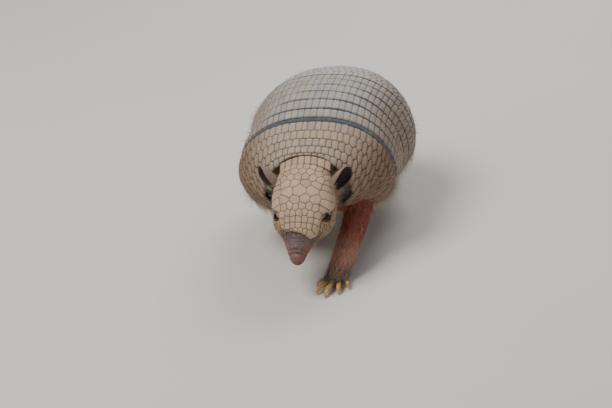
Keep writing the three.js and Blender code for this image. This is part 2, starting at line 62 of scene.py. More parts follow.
BACK_LENGTH = 292
BACK_START = (-115, 138)
BACK_SLOPE = [(0, 33), (27, 27.5), (54, 24.5), (85, 14), (118, 1.5), (150, -6.5), (200, -16),
              (225, -33), (250, -58), (275, -76), (292, -84)]
HALF_WIDTH = [(0, 53), (27, 80.5), (54, 94.5), (100, 93.5), (150, 100), (200, 94.5), (240, 76),
              (270, 52), (292, 31)]
FLANK_Y = [(0, -119), (54, -67), (150, 28), (240, 86), (292, 108)]
FLANK_Z = [(0, 91), (54, 93.5), (150, 91.5), (240, 82), (292, 70)]
SHELL_EDGE = [(0, 106), (20, 112), (54, 114), (100, 109), (150, 105), (292, 102)]
EDGE_TUCK = [(0, 0.75), (30, 0.3), (54, 0.12), (110, 0.05), (292, 0.05)]
PLATE = 3.2
SHOULDER_END = 53
FIRST_BAND = 57.5
FOLD_END = 60.3
BAND_PITCH = 17.2
BAND_COUNT = 6
BAND_GAP = 1.2
BAND_SINK = 0.9
PELVIC_START = FIRST_BAND + BAND_COUNT * BAND_PITCH
NAPE_NOTCH = (5, 0.34)  # depth, and half width as a share of the shell's
SHOULDER_FOLD = 1.8  # depth of the ridge of skin between the shoulder shield and the first band
GAP = 0.3
BELLY_Y = [(0, -100), (54, -62), (150, 26), (240, 80), (292, 104)]
BELLY_Z = [(0, 70), (30, 50), (80, 41), (150, 38), (225, 44), (292, 66)]
TRUNK_DEPTH = PLATE + BAND_SINK + 1.4
BENEATH_SHELL = 9 / 14  # the share of the way round the trunk that the shell covers

HEAD_PLACE = np.array([1.4, -119.3, 132.9])
HEAD_TURN = (-2.2, 40.3, 3)  # yaw, pitch and roll in degrees
HEAD_BACK = -13
HEAD_LENGTH = 117
HEAD_HALF_WIDTH = [(-13, 26), (0, 30.5), (12, 33.5), (26, 36), (40, 37.4), (55, 36.6), (66, 35),
                   (73, 32.3), (79, 27), (86, 20), (93, 15.5), (101, 11.8), (109, 8.8), (117, 7)]
HEAD_BEND = [(-13, 0), (30, 0), (62, 1.5), (80, 1), (97, -1.2), (110, -0.4), (117, 0)]
HEAD_TOP = [(-13, -6), (0, -1.5), (12, 2.5), (26, 5.3), (40, 6.3), (54, 5.7), (64, 3.8), (74, 1),
            (84, -2.3), (94, -5.4), (104, -7.8), (117, -9.4)]
HEAD_BOTTOM = [(-13, -36), (0, -41), (12, -45), (26, -46), (40, -44.5), (54, -42), (66, -39),
               (76, -35.5), (86, -32), (96, -29), (106, -26), (117, -23)]
HEAD_SQUARENESS = 2.2
CHEEK_LEVEL = 0.48
HEAD_SHIELD = 2.2
HEAD_SHIELD_LIFT = 1
HEAD_SHIELD_LENGTH = 83.5
# The half width of the head shield, drawn in at the notch over each eye.
HEAD_SHIELD_HALF_WIDTH = [(0, 29.5), (10, 33), (22, 35.5), (33, 37.3), (43, 36.6), (49, 35), (53, 32.4),
                          (56.5, 27.2), (60, 24.8), (67, 24), (74, 22.6), (79, 20.3), (83.5, 14)]
REAR_BOW, FRONT_BOW, SHIELD_SLANT = 6, 2, 3.5
EYE = {"x": 27.8, "l": 62, "z": -7.5, "ball": 4.9, "set_back": 0.3, "reach": 13}
CORNEA = 0.35  # how far it stands out of the ball
LID_HALF_LENGTH, UPPER_LID, LOWER_LID = 4.7, 3.0, 2.5
EAR = {"base": (30, 21, -15), "tip": (55, 9.5, 2.5), "wall": 1.7, "root": 5}
EAR_TURN = [(0, 165), (0.3, 128), (0.55, 108), (0.8, 82), (0.93, 52), (1, 22)]
EAR_RADIUS = [(0, 5.4), (0.35, 8.8), (0.7, 10.8), (1, 9.6)]
EAR_OPENING = 2  # from the ear's base line to the middle of its wall's round
NECK = [(-140, 96, 28, 24), (-122, 98, 37, 29), (-100, 98, 44, 34)]  # y, z, half width, half height
NUCHAL = {"middle": 1.6, "half": 30, "drop": 7.8, "sweep": 3.8,
          "front": (-120.3, 132.8), "rear": (-112.2, 140.3)}

LEGS = {
    "foreleg_left": {
        "side": 1, "upper": [(42, -74, 90), (51, -97, 60)], "upper_half": (24, 16.5),
        "lower": [(51, -97, 60), (46.5, -121, 44), (39.5, -142, 28), (34, -153, 14)],
        "lower_half": (16.5, 13), "heel": (36, -149, 9.5), "ball": (30, -168, 8.5),
    },
    "foreleg_right": {
        "side": -1, "upper": [(-42, -72, 90), (-54, -56, 58)], "upper_half": (24, 17),
        "lower": [(-54, -56, 58), (-50, -43, 38), (-41, -24, 14)],
        "lower_half": (17, 12), "heel": (-41, -20, 9.5), "ball": (-38, -39, 8.5),
    },
    "hindleg_left": {
        "side": 1, "upper": [(38, 88, 70), (53, 74, 47)], "upper_half": (28, 19),
        "lower": [(53, 74, 47), (52, 94, 30), (48, 112, 13)],
        "lower_half": (18.5, 12), "heel": (48, 117, 9.5), "ball": (44, 86, 8.5),
    },
    "hindleg_right": {
        "side": -1, "upper": [(-40, 62, 72), (-58, 30, 48)], "upper_half": (28, 19),
        "lower": [(-58, 30, 48), (-57, 46, 30), (-54, 59, 13)],
        "lower_half": (18.5, 12), "heel": (-54, 63, 9.5), "ball": (-55, 30, 8.5),
    },
}
for _leg in LEGS.values():
    for _key in ("upper", "lower", "heel", "ball"):
        _leg[_key] = np.array(_leg[_key], float)
# Toes from the inner side out: spread in degrees, length of toe and of claw, and claw half width.
FORE_TOES = [(-36, 7, 11, 2), (-15, 10, 19, 2.8), (3, 10.5, 20, 3), (22, 9, 15, 2.6), (44, 6, 9, 2)]
HIND_TOES = [(-28, 7.5, 9, 2.1), (-12, 9.5, 12, 2.5), (2, 10, 13, 2.7), (16, 9, 12, 2.5), (32, 7, 9, 2)]
FORE_FOOT, HIND_FOOT = 13, 13.5
TOE_HEIGHT, CLAW_TIP_HEIGHT = 5.2, 1.9
CLAW_SIZES = [(0, 1.05, 0.95), (0.45, 1.05, 0.85), (0.8, 0.7, 0.55), (1, 0.3, 0.25)]
TAIL_PATH = [(0, 92, 88), (0, 122, 82), (3, 164, 52), (9, 220, 26), (17, 290, 15)]
TAIL_HALF = [(0, 20), (0.16, 18.5), (0.35, 14), (0.65, 9.5), (1, 4.5)]
TAIL_PART = 158  # Y of the cut between the tail's two solids, which gives the row frame's place

ROW_SHIFT = np.array([0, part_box("tail_base")[1].y / MM - TAIL_PART, 0])

# ---------------------------------------------------------------- detail

GRAIN = 0.7  # spacing of the shell's fine grids
BAND_GRAIN = 1.3  # and along a band, which is plain that way
HEAD_GRAIN = 0.42
HEAD_SPAN = (74, 84)  # what the head shield's grid covers, across and along
NUCHAL_GRAIN = 0.5
VOXEL = 0.9
MOST_COLUMNS = 200  # of scutes or scales, to either side
SCUTE_WIDTH, NUCHAL_WIDTH = 7.9, 7.6
JOINT_DEPTH = 0.62
BAND_JOINT = 0.85  # how marked the joints within a band are beside those of the shields
# Depth of the first and the last row of scutes.
SHOULDER_ROWS, PELVIC_ROWS = (7.5, 12.5), (14, 10)
# Rows of the head shield's plates: how far forward, how many, and how much larger the middle ones are.
HEAD_PLATE_ROWS = [(3.5, 8, 0), (11, 7, 0.2), (18.5, 8, 0.3), (26.5, 6, 0.4), (36.5, 5, 2.6), (47, 6, 0.7),
                   (55, 8, 0.2), (62.5, 7, 0.2), (70, 7, 0.1), (76.5, 7, 0), (82.5, 6, 0)]

FINE_ROUND_EYE, FINE_SNOUT = 10, 99  # where the skin's faces are halved
FAR_OUTSIDE = 99.0  # stands for a point nowhere near the eye
FOLD_REACH = 4.5  # how near the shell's surface a point of the grey fold lies
NOSTRIL = {"apart": 3.5, "up": 1.2, "radius": 1.45}
PAD_GROOVES, PAD_RIDGE = (101.6, 106.2), 103.8  # across the snout, behind the pad of the nose
SNOUT_CREASES = (86.5, 90, 93.2, 96)
SOLE_TOP = 1.2
LOWEST_SKIN, LOWEST_HAIR = 0.02, 0.05  # keep both off the floor
# Scales of the skin: row pitch, width, depth of the joints, raggedness, and how far each overlaps the next.
SCALES = {
    "belly": (7.5, 6.5, 0.5, 0.3, 0), "neck": (3.4, 4.2, 0.35, 0.35, 0), "cheek": (4.4, 4.6, 0.4, 0.3, 0),
    "leg": (4.0, 5.6, 0.5, 0.28, 0.5), "foot": (3.6, 4.4, 0.4, 0.25, 0.15),
    "tail": (7.0, 5.2, 0.55, 0.12, 0.35),
}
# Some of these paint light: the fold's dark front is painted shade, the socket tone is painted shade in the
# mouth and nostrils and over darker skin above the eyes, the ears' dark insides are darker skin deepened with
# painted shade, and the snout's pale tone is painted highlight.
TONES = {
    "trunk": "#8a5f48", "belly": "#9a7660", "fold": "#585d64", "fold_painted_shade": "#30363f", "neck": "#74645b",
    "cheek": "#b0926f", "snout": "#66524f", "snout_side": "#703f2e", "snout_pink": "#96604e",
    "snout_highlight": "#8f7f7b", "nose": "#805a4f", "jaw": "#8d6f60", "lid": "#b59c80", "lower_lid": "#5e2a1e",
    "rim": "#1f1512", "socket": "#3a2a24", "ear_back": "#8d7867", "ear_inside_shade": "#33231d",
    "leg": "#833a26", "leg_low": "#ad7c67", "hind": "#84513c", "foot": "#765344", "toe": "#4d3a32",
    "sole": "#6a4a3e", "tail": "#9c8367",
}
# Scutes: crown, greyer crown, flank (browner, with painted shade of the sides), joint, seam (painted shade
# along the seams), and how worn they are.
SCUTE_LOOKS = {
    "shoulder": ("#a8937c", "#a0968b", "#75523b", "#2b211a", "#363f4b", 1.5),
    "bands": ("#a1968b", "#9e9c9a", "#7d6654", "#2d2a28", "#323b48", 1.7),
    "pelvic": ("#b1a89e", "#afaba7", "#7b6656", "#332c27", "#323b48", 1.5),
    "head_shield": ("#bea184", "#b0957c", "#a08060", "#3a2a20", None, 1.0),
}

HAIR_RINGS, HAIR_SIDES = 5, 3
HAIR_POINTS = HAIR_RINGS * HAIR_SIDES + 1
HAIR_DROOP = 0.12  # how far its own weight bends it, as a share of its length
HAIR_SUNK = 0.8  # how far the root lies under the surface
PATCH = 0.003  # size of each hair's patch of the map
SHELL_HAIRS, FLANK_HAIRS, FRINGE_HAIRS = 560, 420, 1100
# Stations of the rows of scutes that bristles come from.
SHOULDER_HAIR_ROWS = [12, 22, 33, 43, 53]
PELVIC_HAIR_ROWS = [174, 187, 200, 212, 224, 236, 248, 260, 271, 281, 290]
BARE_BELOW = 9  # the feet carry no hair this near the floor
# Hair of the skin: region, how many, shortest and longest, lowest and highest rise, thickness and paleness.
COATS = [("trunk", 2600, 8, 19, 6, 34, 0.14, 0.6), ("cheek", 420, 4, 12, 15, 50, 0.08, 0.7),
         ("ears", 130, 4, 9, 10, 35, 0.09, 0.8), ("neck", 420, 4, 10, 20, 60, 0.1, 0.5),
         ("foreleg_left", 620, 3, 8, 10, 35, 0.09, 0.4), ("foreleg_right", 620, 3, 8, 10, 35, 0.09, 0.4),
         ("hindleg_left", 620, 4, 10, 10, 40, 0.1, 0.4), ("hindleg_right", 620, 4, 10, 10, 40, 0.1, 0.4),
         ("tail", 520, 3, 7, 10, 30, 0.09, 0.5)]

# The camera is placed on its target by two angles, and then turned so that the target lies off the middle of
# the picture, which is 612 by 408.
CAMERA = {"azimuth": 14.793, "elevation": 24.81, "roll": -8.152, "distance": 2600, "target": (0, 0, 100)}
PICTURE = (612, 408)
FOCAL_PIXELS = 2177.23
TARGET_PIXEL = (327.3, 144.1)
FLOOR_HALF = 6000  # half the floor's side
# Lights, in metres and watts: place, size, power and colour. Each shines on LIT_PLACE.
LIGHTS = [("key", (-0.75, -0.6, 1.9), 1.1, 38, (1.0, 0.98, 0.95)),
          ("fill", (1.7, -1.3, 0.9), 1.4, 5, (0.95, 0.97, 1.0)),
          ("rear", (0.5, 1.4, 1.6), 1.2, 26, (0.95, 0.97, 1.0))]
LIT_PLACE = (0, 0, 0.09)

# ---------------------------------------------------------------- curves


def track(pairs):
    """A smooth curve through (station, value) pairs, held level past both ends."""
    at, value = np.array(pairs, float).T
    slope = np.gradient(value, at)
    slope[1:-1] = (value[2:] - value[:-2]) / (at[2:] - at[:-2])

    def curve(x):
        x = np.clip(x, at[0], at[-1])
        i = np.clip(np.searchsorted(at, x, side="right") - 1, 0, len(at) - 2)
        h = at[i + 1] - at[i]
        t = (x - at[i]) / h
        ends = value[i] * (1 + 2 * t) * (1 - t) ** 2 + value[i + 1] * t * t * (3 - 2 * t)
        return ends + h * (slope[i] * t * (1 - t) ** 2 - slope[i + 1] * t * t * (1 - t))

    return curve


def draws(*which):
    """A seeded generator for one piece of the work."""
    return np.random.default_rng([SEED, *which])


def lerp(a, b, t):
    return a + (b - a) * t


def bell(x, width):
    return np.exp(-(x / width) ** 2)


def raised(x, power):
    return np.sign(x) * np.abs(x) ** power


def smoothstep(low, high, x):
    t = np.clip((x - low) / (high - low), 0, 1)
    return t * t * (3 - 2 * t)


def unit(v):
    return v / np.maximum(np.linalg.norm(v, axis=-1, keepdims=True), 1e-9)


def stack(x, y, z):
    return np.stack(np.broadcast_arrays(x, y, z), axis=-1).astype(float)


def spline(path, count):
    """Evenly spaced points along a centripetal Catmull-Rom curve."""
    p = np.array(path, float)
    p = np.vstack([2 * p[0] - p[1], p, 2 * p[-1] - p[-2]])
    knots = np.sqrt(np.linalg.norm(np.diff(p, axis=0), axis=1))
    made = []
    for i in range(1, len(p) - 2):
        before, here, after = knots[i - 1:i + 2]
        leave = (p[i] - p[i - 1]) / before - (p[i + 1] - p[i - 1]) / (before + here)
        reach = (p[i + 1] - p[i]) / here - (p[i + 2] - p[i]) / (here + after)
        leave = here * (leave + (p[i + 1] - p[i]) / here)
        reach = here * (reach + (p[i + 2] - p[i + 1]) / after)
        t = np.linspace(0, 1, 60)[:, None]
        made.append(p[i] * (1 + 2 * t) * (1 - t) ** 2 + p[i + 1] * t * t * (3 - 2 * t)
                    + leave * t * (1 - t) ** 2 - reach * t * t * (1 - t))
    points = np.vstack(made)
    run = np.concatenate([[0], np.cumsum(np.linalg.norm(np.diff(points, axis=0), axis=1))])
    even = np.linspace(0, run[-1], count)
    return np.stack([np.interp(even, run, points[:, k]) for k in range(3)], axis=1)


def rgb(code):
    """A colour's linear values from its six hex digits."""
    parts = [int(code[i:i + 2], 16) / 255 for i in (1, 3, 5)]
    return tuple(p / 12.92 if p <= 0.04045 else ((p + 0.055) / 1.055) ** 2.4 for p in parts)


# ---------------------------------------------------------------- meshes


def new_object(name, points, faces, smooth=True, attributes=None):
    """A mesh object from points in the animal's frame, with its faces turned outwards."""
    mesh = bpy.data.meshes.new(name)
    mesh.from_pydata((np.asarray(points) + ROW_SHIFT) * MM, [], faces)
    bm = bmesh.new()
    bm.from_mesh(mesh)
    bmesh.ops.recalc_face_normals(bm, faces=bm.faces)
    bm.to_mesh(mesh)
    bm.free()
    for key, values in (attributes or {}).items():
        set_attribute(mesh, key, values)
    shade_smooth(mesh, smooth)
    made = bpy.data.objects.new(name, mesh)
    bpy.context.scene.collection.objects.link(made)
    return made


def shade_smooth(mesh, smooth=True):
    mesh.polygons.foreach_set("use_smooth", np.full(len(mesh.polygons), smooth))


def set_attribute(mesh, key, values):
    """One number for each point, or one colour."""
    values = np.asarray(values, np.float32)
    if values.ndim == 1:
        mesh.attributes.new(key, "FLOAT", "POINT").data.foreach_set("value", values)
        return
    rgba = np.ones((len(values), 4), np.float32)
    rgba[:, :3] = values
    mesh.attributes.new(key, "FLOAT_COLOR", "POINT").data.foreach_set("color", rgba.ravel())


def mesh_points(mesh):
    """A mesh's points in the animal's frame."""
    co = np.empty(len(mesh.vertices) * 3, np.float32)
    mesh.vertices.foreach_get("co", co)
    return co.reshape(-1, 3).astype(float) / MM - ROW_SHIFT


def set_mesh_points(mesh, points):
    mesh.vertices.foreach_set("co", ((points + ROW_SHIFT) * MM).astype(np.float32).ravel())
    mesh.update()


def mesh_normals(mesh):
    mesh.update()
    normals = np.empty(len(mesh.vertices) * 3, np.float32)
    mesh.vertex_normals.foreach_get("vector", normals)
    return normals.reshape(-1, 3).astype(float)


def capped(wall, first, last):
    """Points and faces of rings of points, closed by a point before them and one after."""
    rings, around = wall.shape[:2]
    points = np.vstack([wall.reshape(-1, 3), first, last])
    faces = []
    for j in range(around):
        k = (j + 1) % around
        for a in range(0, (rings - 1) * around, around):
            faces.append((a + j, a + k, a + around + k, a + around + j))
        end = (rings - 1) * around
        faces += [(j, len(points) - 2, k), (end + j, end + k, len(points) - 1)]
    return points, faces


def tube(around, along, place):
    """A closed tube's points and faces: place(t, angle) gives its wall from t = 0 to t = 1."""
    t = (1 - np.cos(np.linspace(0, math.pi, along + 1))) / 2
    angle = np.linspace(0, 2 * math.pi, around, endpoint=False)
    angle = np.where(angle > math.pi, angle - 2 * math.pi, angle)
    wall = place(t[:, None], angle[None, :])
    return capped(wall, wall[0].mean(0), wall[-1].mean(0))


def slab(columns, rows, top, under, step=8):
    """A closed sheet's points and faces: a fine grid over a coarse underside.

    top(u, v) and under(u, v) place the two sides, with u from -1 to 1 and v from 0 to 1. The first
    (rows + 1) * (columns + 1) points are the fine grid's.
    """
    u, v = np.meshgrid(np.linspace(-1, 1, columns + 1), np.linspace(0, 1, rows + 1))
    above = top(u, v).reshape(-1, 3)
    below = under(u, v).reshape(-1, 3)
    index = np.arange(len(above)).reshape(rows + 1, columns + 1)
    a, b, c, d = index[:-1, :-1], index[:-1, 1:], index[1:, 1:], index[1:, :-1]
    faces = [tuple(f) for f in np.stack([a, b, c, d], axis=-1).reshape(-1, 4).tolist()]
    marks_i = sorted(set(range(0, rows, step)) | {rows})
    marks_j = sorted(set(range(0, columns, step)) | {columns})
    kept = np.zeros((rows + 1, columns + 1), bool)
    kept[[0, -1], :] = True
    kept[:, [0, -1]] = True
    kept[np.ix_(marks_i, marks_j)] = True
    low = np.full((rows + 1, columns + 1), -1)
    low[kept] = len(above) + np.arange(kept.sum())
    points = np.vstack([above, below[kept.ravel()]])

    def side(i0, j0, i1, j1):
        """The underside's points from one corner of a coarse cell towards the next."""
        rim = (i0 == i1 and i0 in (0, rows)) or (j0 == j1 and j0 in (0, columns))
        count = max(abs(i1 - i0), abs(j1 - j0)) if rim else 1
        return [int(low[i0 + (i1 - i0) * n // count, j0 + (j1 - j0) * n // count]) for n in range(count)]

    for i0, i1 in zip(marks_i, marks_i[1:]):
        for j0, j1 in zip(marks_j, marks_j[1:]):
            faces.append(tuple(side(i0, j0, i1, j0) + side(i1, j0, i1, j1)
                               + side(i1, j1, i0, j1) + side(i0, j1, i0, j0)))
    rim = ([(0, j) for j in range(columns)] + [(i, columns) for i in range(rows)]
           + [(rows, j) for j in range(columns, 0, -1)] + [(i, 0) for i in range(rows, 0, -1)])
    for (i, j), (m, n) in zip(rim, rim[1:] + rim[:1]):
        faces.append((int(index[m, n]), int(index[i, j]), int(low[i, j]), int(low[m, n])))
    return points, faces


def slab_object(name, columns, rows, top, under, kept, step=8):
    """A slab with the values kept of its fine grid. Its underside counts as painted seam shade, and as
    nothing else.
    """
    points, faces = slab(columns, rows, top, under, step)
    attributes = {}
    for key, values in kept.items():
        fill = np.full(len(points) - values.size, float(key == "seam_shade"))
        attributes[key] = np.concatenate([values.reshape(-1), fill])
    return new_object(name, points, faces, attributes=attributes)


# ---------------------------------------------------------------- the surface of the shell

slope_at, half_width = track(BACK_SLOPE), track(HALF_WIDTH)
flank_y, flank_z = track(FLANK_Y), track(FLANK_Z)
shell_edge, edge_tuck = track(SHELL_EDGE), track(EDGE_TUCK)
MIDLINE_STEPS = np.arange(BACK_LENGTH + 5)
_slopes = np.radians(slope_at(MIDLINE_STEPS + 0.5))
MIDLINE_Y = BACK_START[0] + np.concatenate([[0], np.cumsum(np.cos(_slopes))])
MIDLINE_Z = BACK_START[1] + np.concatenate([[0], np.cumsum(np.sin(_slopes))])


def shell_surface(s, phi):
    """The outer surface: s along the midline of the back, phi round from it."""
    stations = np.arange(len(MIDLINE_Y))
    drop = raised(1 - np.cos(phi), 1.06)
    x = half_width(s) * raised(np.sin(phi), 0.92) * (1 - edge_tuck(s) * np.maximum(0, drop - 1))
    return stack(x, lerp(np.interp(s, stations, MIDLINE_Y), flank_y(s), drop),
                 lerp(np.interp(s, stations, MIDLINE_Z), flank_z(s), drop))


def shell_normal(s, phi):
    at = np.clip(s, 0.5, BACK_LENGTH - 0.5)
    along = shell_surface(at + 0.5, phi) - shell_surface(at - 0.5, phi)
    around = shell_surface(s, phi + 0.02) - shell_surface(s, phi - 0.02)
    normal = unit(np.cross(along, around))
    outward = (normal * stack(np.sin(phi), 0, np.cos(phi))).sum(-1, keepdims=True)
    return np.where(outward < 0, -normal, normal)


def shell_point(s, phi, depth):
    return shell_surface(s, phi) - shell_normal(s, phi) * np.asarray(depth)[..., None]


PHI_STEP = math.radians(1)
_phi_marks = np.arange(0, math.radians(125), PHI_STEP)
_ring = shell_surface(np.arange(BACK_LENGTH + 1)[:, None], _phi_marks[None, :])
_arc = np.linalg.norm(np.diff(_ring, axis=1), axis=-1).cumsum(1)
ARC_TABLE = np.concatenate([np.zeros((BACK_LENGTH + 1, 1)), _arc], axis=1)


def arc_at(s, phi):
    """How far round the shell a point lies from the midline, with its side's sign."""
    i = np.clip(s, 0, BACK_LENGTH - 1e-6)
    j = np.clip(np.abs(phi) / PHI_STEP, 0, ARC_TABLE.shape[1] - 1.001)
    i0, j0 = i.astype(int), j.astype(int)
    fi, fj = i - i0, j - j0
    near = lerp(ARC_TABLE[i0, j0], ARC_TABLE[i0 + 1, j0], fi)
    far = lerp(ARC_TABLE[i0, j0 + 1], ARC_TABLE[i0 + 1, j0 + 1], fi)
    return np.sign(phi) * lerp(near, far, fj)


# ---------------------------------------------------------------- scutes


def bricks(rows, along, across, width, hexed, rng, ragged=0.1):
    """Rows of scutes: how far each point is from the nearest joint, its scute's random tone, and its row.

    rows are the stations of the joints between rows. Neighbouring rows are set half a scute apart, and
    hexed (0 to 1) turns their straight joints into the zigzag of six-sided scutes.
    """
    offsets = np.arange(len(rows)) % 2 * 0.5
    place = across / width
    zigzag = [1 - 4 * np.abs((place - offset + 0.5) % 1 - 0.5) for offset in offsets]
    edges = np.stack([row + 0.24 * width * hexed * bend * (0 < k < len(rows) - 1)
                      for k, (row, bend) in enumerate(zip(rows, zigzag))])
    row = np.clip((along[None] >= edges).sum(0) - 1, 0, len(rows) - 2)
    to_row = np.minimum(np.abs(along - np.take_along_axis(edges, row[None], 0)[0]),
                        np.abs(along - np.take_along_axis(edges, row[None] + 1, 0)[0]))
    jitter = rng.uniform(-ragged, ragged, (len(rows), 2 * MOST_COLUMNS))
    tones = rng.random((len(rows), 2 * MOST_COLUMNS))
    column = place - offsets[row]
    nearest = np.rint(column).astype(int)
    off = column - nearest - jitter[row, nearest + MOST_COLUMNS]
    to_column = np.abs(off) * width
    cell = np.where(off >= 0, nearest, nearest - 1)
    sharp = 1.6  # of the scutes' corners
    gap = -np.log(np.exp(-sharp * to_row) + np.exp(-sharp * to_column)) / sharp
    return np.maximum(gap, 0), tones[row, cell + MOST_COLUMNS], row


def relief(gap, depth, width=0.75):
    """How far a scute's face lies below its crown: a narrow joint, and shoulders rounding into it."""
    return depth * bell(gap, width) + 0.35 * depth * bell(gap, 3 * width)


def margin(distance, radius):
    """How far a rounded edge has dropped at a distance inside it."""
    inside = np.clip(distance / radius, 0, 1)
    return radius * (1 - np.sqrt(np.maximum(0, 1 - (1 - inside) ** 2)))


def shell_plate(name, start, end, rows, sink=0.0, grain_along=GRAIN):
    """One shield or band of the shell, with its scutes. rows are the joints between rows of scutes."""
    rng = draws(len(name), int(start))
    shield = len(rows) > 2
    length = end - start
    half_arc = float(arc_at(np.array((start + end) / 2), np.radians(110.0)))
    kept = {}

    def where(u, v):
        notch = NAPE_NOTCH[0] * np.maximum(0, 1 - (u / NAPE_NOTCH[1]) ** 2) if start == 0 else 0
        s = start + notch * (1 - v) + v * length
        return s, u * np.radians(shell_edge(s))

    def top(u, v):
        s, phi = where(u, v)
        arc = arc_at(s, phi)
        round_side = np.abs(arc)
        faint = 1 if shield else BAND_JOINT
        hexed = smoothstep(25, 80, round_side) * shield
        gap, tone, _ = bricks(rows, s, arc, SCUTE_WIDTH, hexed, rng, 0.12 if shield else 0.06)
        edge = np.minimum(np.minimum(v, 1 - v) * length, (1 - np.abs(u)) * half_arc)
        low = relief(gap, JOINT_DEPTH * faint, 0.55) + margin(edge, 1.3)
        if start == 0:
            low = low + 1.3 * np.maximum(0, 1 - v * length / 7) ** 2  # thinner at the nape
        ring = bell(gap - 1.9, 0.5) * smoothstep(35, 90, round_side) * shield  # inside a flank scute's edge
        low = low + 0.2 * ring + 0.3 * (tone - 0.5)
        broad = 0.5 + 0.25 * smoothstep(40, 110, round_side)
        kept["joint"] = np.maximum(faint * bell(gap, broad), 0.3 * ring)
        kept["tone"] = tone
        # How far down the side: there the scutes are browner, and darker as painted shade of the sides.
        kept["flank"] = smoothstep(25, 110, round_side + 12 * (tone - 0.5))
        # The painted shade of the seam before a band, where it runs under the plate ahead, is wider on the
        # left, and wavers.
        wide = lerp(1.2, 1.9, smoothstep(0, 90, arc)) + 0.4 * np.sin(arc / 11 + start)
        front = 0.9 * (start > FOLD_END) * np.exp(-(v * length / wide) ** 4)
        # Painted shade also along each plate's rear edge, save the pelvic shield's.
        kept["seam_shade"] = np.maximum(front, (end < BACK_LENGTH) * bell((1 - v) * length, 0.7))
        return shell_point(s, phi, low + sink * (1 - v))

    def under(u, v):
        s, phi = where(u, v)
        return shell_point(s, phi, PLATE + sink * (1 - v))

    columns, count = int(2 * half_arc / GRAIN), max(8, int(length / grain_along))
    return slab_object(name, columns, count, top, under, kept)


def even_rows(start, end, first, last):
    """Joints from start to end between rows whose depth changes evenly from first to last."""
    count = round((end - start) / ((first + last) / 2))
    depth = np.linspace(first, last, count)
    edges = np.concatenate([[0], np.cumsum(depth)])
    return list(start + edges * (end - start) / edges[-1])


# ---------------------------------------------------------------- the head's own frame

_yaw, _pitch, _roll = (math.radians(a) for a in HEAD_TURN)
HEAD_AXES = np.array(Matrix.Rotation(_yaw, 3, "Z") @ Matrix.Rotation(_pitch, 3, "X")
                     @ Matrix.Rotation(_roll, 3, "Y"))
head_half_width, head_bend = track(HEAD_HALF_WIDTH), track(HEAD_BEND)
head_top, head_bottom = track(HEAD_TOP), track(HEAD_BOTTOM)
head_shield_half = track(HEAD_SHIELD_HALF_WIDTH)


def in_head(x, l, z):
    """A place given by x to the head's left, l forward from its shield's rear edge, and z up."""
    return stack(x, -np.asarray(l, float), z) @ HEAD_AXES.T + HEAD_PLACE


def to_head(points):
    """x, l and z of points in the head's own frame."""
    own = (points - HEAD_PLACE) @ HEAD_AXES
    return own[..., 0], -own[..., 1], own[..., 2]


def head_surface(x, l):
    middle = lerp(head_top(l), head_bottom(l), CHEEK_LEVEL)
    share = np.minimum(0.998, np.abs(x - head_bend(l)) / head_half_width(l))
    return middle + (head_top(l) - middle) * (1 - share ** HEAD_SQUARENESS) ** (1 / HEAD_SQUARENESS)


# ---------------------------------------------------------------- head shield and nuchal band


def head_plates(x, l, rng):
    """How far each point of the head shield is from the nearest joint, and its plate's random tone."""
    seeds, sizes = [], []
    for k, (row, count, size) in enumerate(HEAD_PLATE_ROWS):
        half = float(head_shield_half(row)) + 0.5
        for n in range(count):
            share = (n + 0.5) / count * 2 - 1
            bow = share * share * lerp(REAR_BOW, FRONT_BOW, row / HEAD_SHIELD_LENGTH)
            wander = rng.uniform(-1, 1, 2) * (1.2 if 0 < k < 8 else 0.5)
            seeds.append((share * half + wander[0] + head_bend(row), row + bow + wander[1]))
            sizes.append(size * (1 - abs(share)) ** 2)
    seeds, sizes = np.array(seeds), np.array(sizes)
    apart = np.hypot(x[..., None] - seeds[:, 0], l[..., None] - seeds[:, 1]) - sizes
    order = np.argsort(apart, axis=-1)[..., :2]
    near = np.take_along_axis(apart, order, -1)
    return (near[..., 1] - near[..., 0]) / 2, rng.random(len(seeds))[order[..., 0]]


def head_shield():
    rng = draws(HEAD_SHIELD_DRAWS)
    kept = {}

    def where(u, v):
        l = v * HEAD_SHIELD_LENGTH
        bow = u * u * lerp(REAR_BOW, FRONT_BOW, v) + u * SHIELD_SLANT * v ** 4
        wavy = 0.22 * np.cos(17 * u) * (1 - u ** 4)
        return head_bend(l + bow) + u * head_shield_half(l), l + bow + wavy * v ** 3

    def outer(u, v, lift):
        x, l = where(u, v)
        return in_head(x, l, head_surface(x, l) + lift)

    def top(u, v):
        x, l = where(u, v)
        gap, kept["tone"] = head_plates(x, l, rng)
        from_rear, from_front = v * HEAD_SHIELD_LENGTH, (1 - v) * HEAD_SHIELD_LENGTH
        edge = np.minimum(np.minimum(from_rear, from_front), (1 - np.abs(u)) * head_shield_half(from_rear))
        base = outer(u, v, HEAD_SHIELD_LIFT + HEAD_SHIELD)
        inward = unit(np.cross(np.gradient(base, axis=1), np.gradient(base, axis=0)))
        front = np.maximum(0, 1 - from_front / 5)
        low = relief(gap, 0.42, 0.5) + margin(edge, 1.6) + 0.3 * (kept["tone"] - 0.5) + 0.4 * front ** 2
        # The rear edge is darkened too: a joint's dark line, with painted shade over the gap behind it.
        kept["joint"] = np.maximum(bell(gap, 0.42), bell(from_rear, 0.8))
        return base + inward * low[..., None]

    columns, rows = (int(span / HEAD_GRAIN) for span in HEAD_SPAN)
    return slab_object("head_shield_plates", columns, rows, top, lambda u, v: outer(u, v, HEAD_SHIELD_LIFT),
                       kept, step=6)


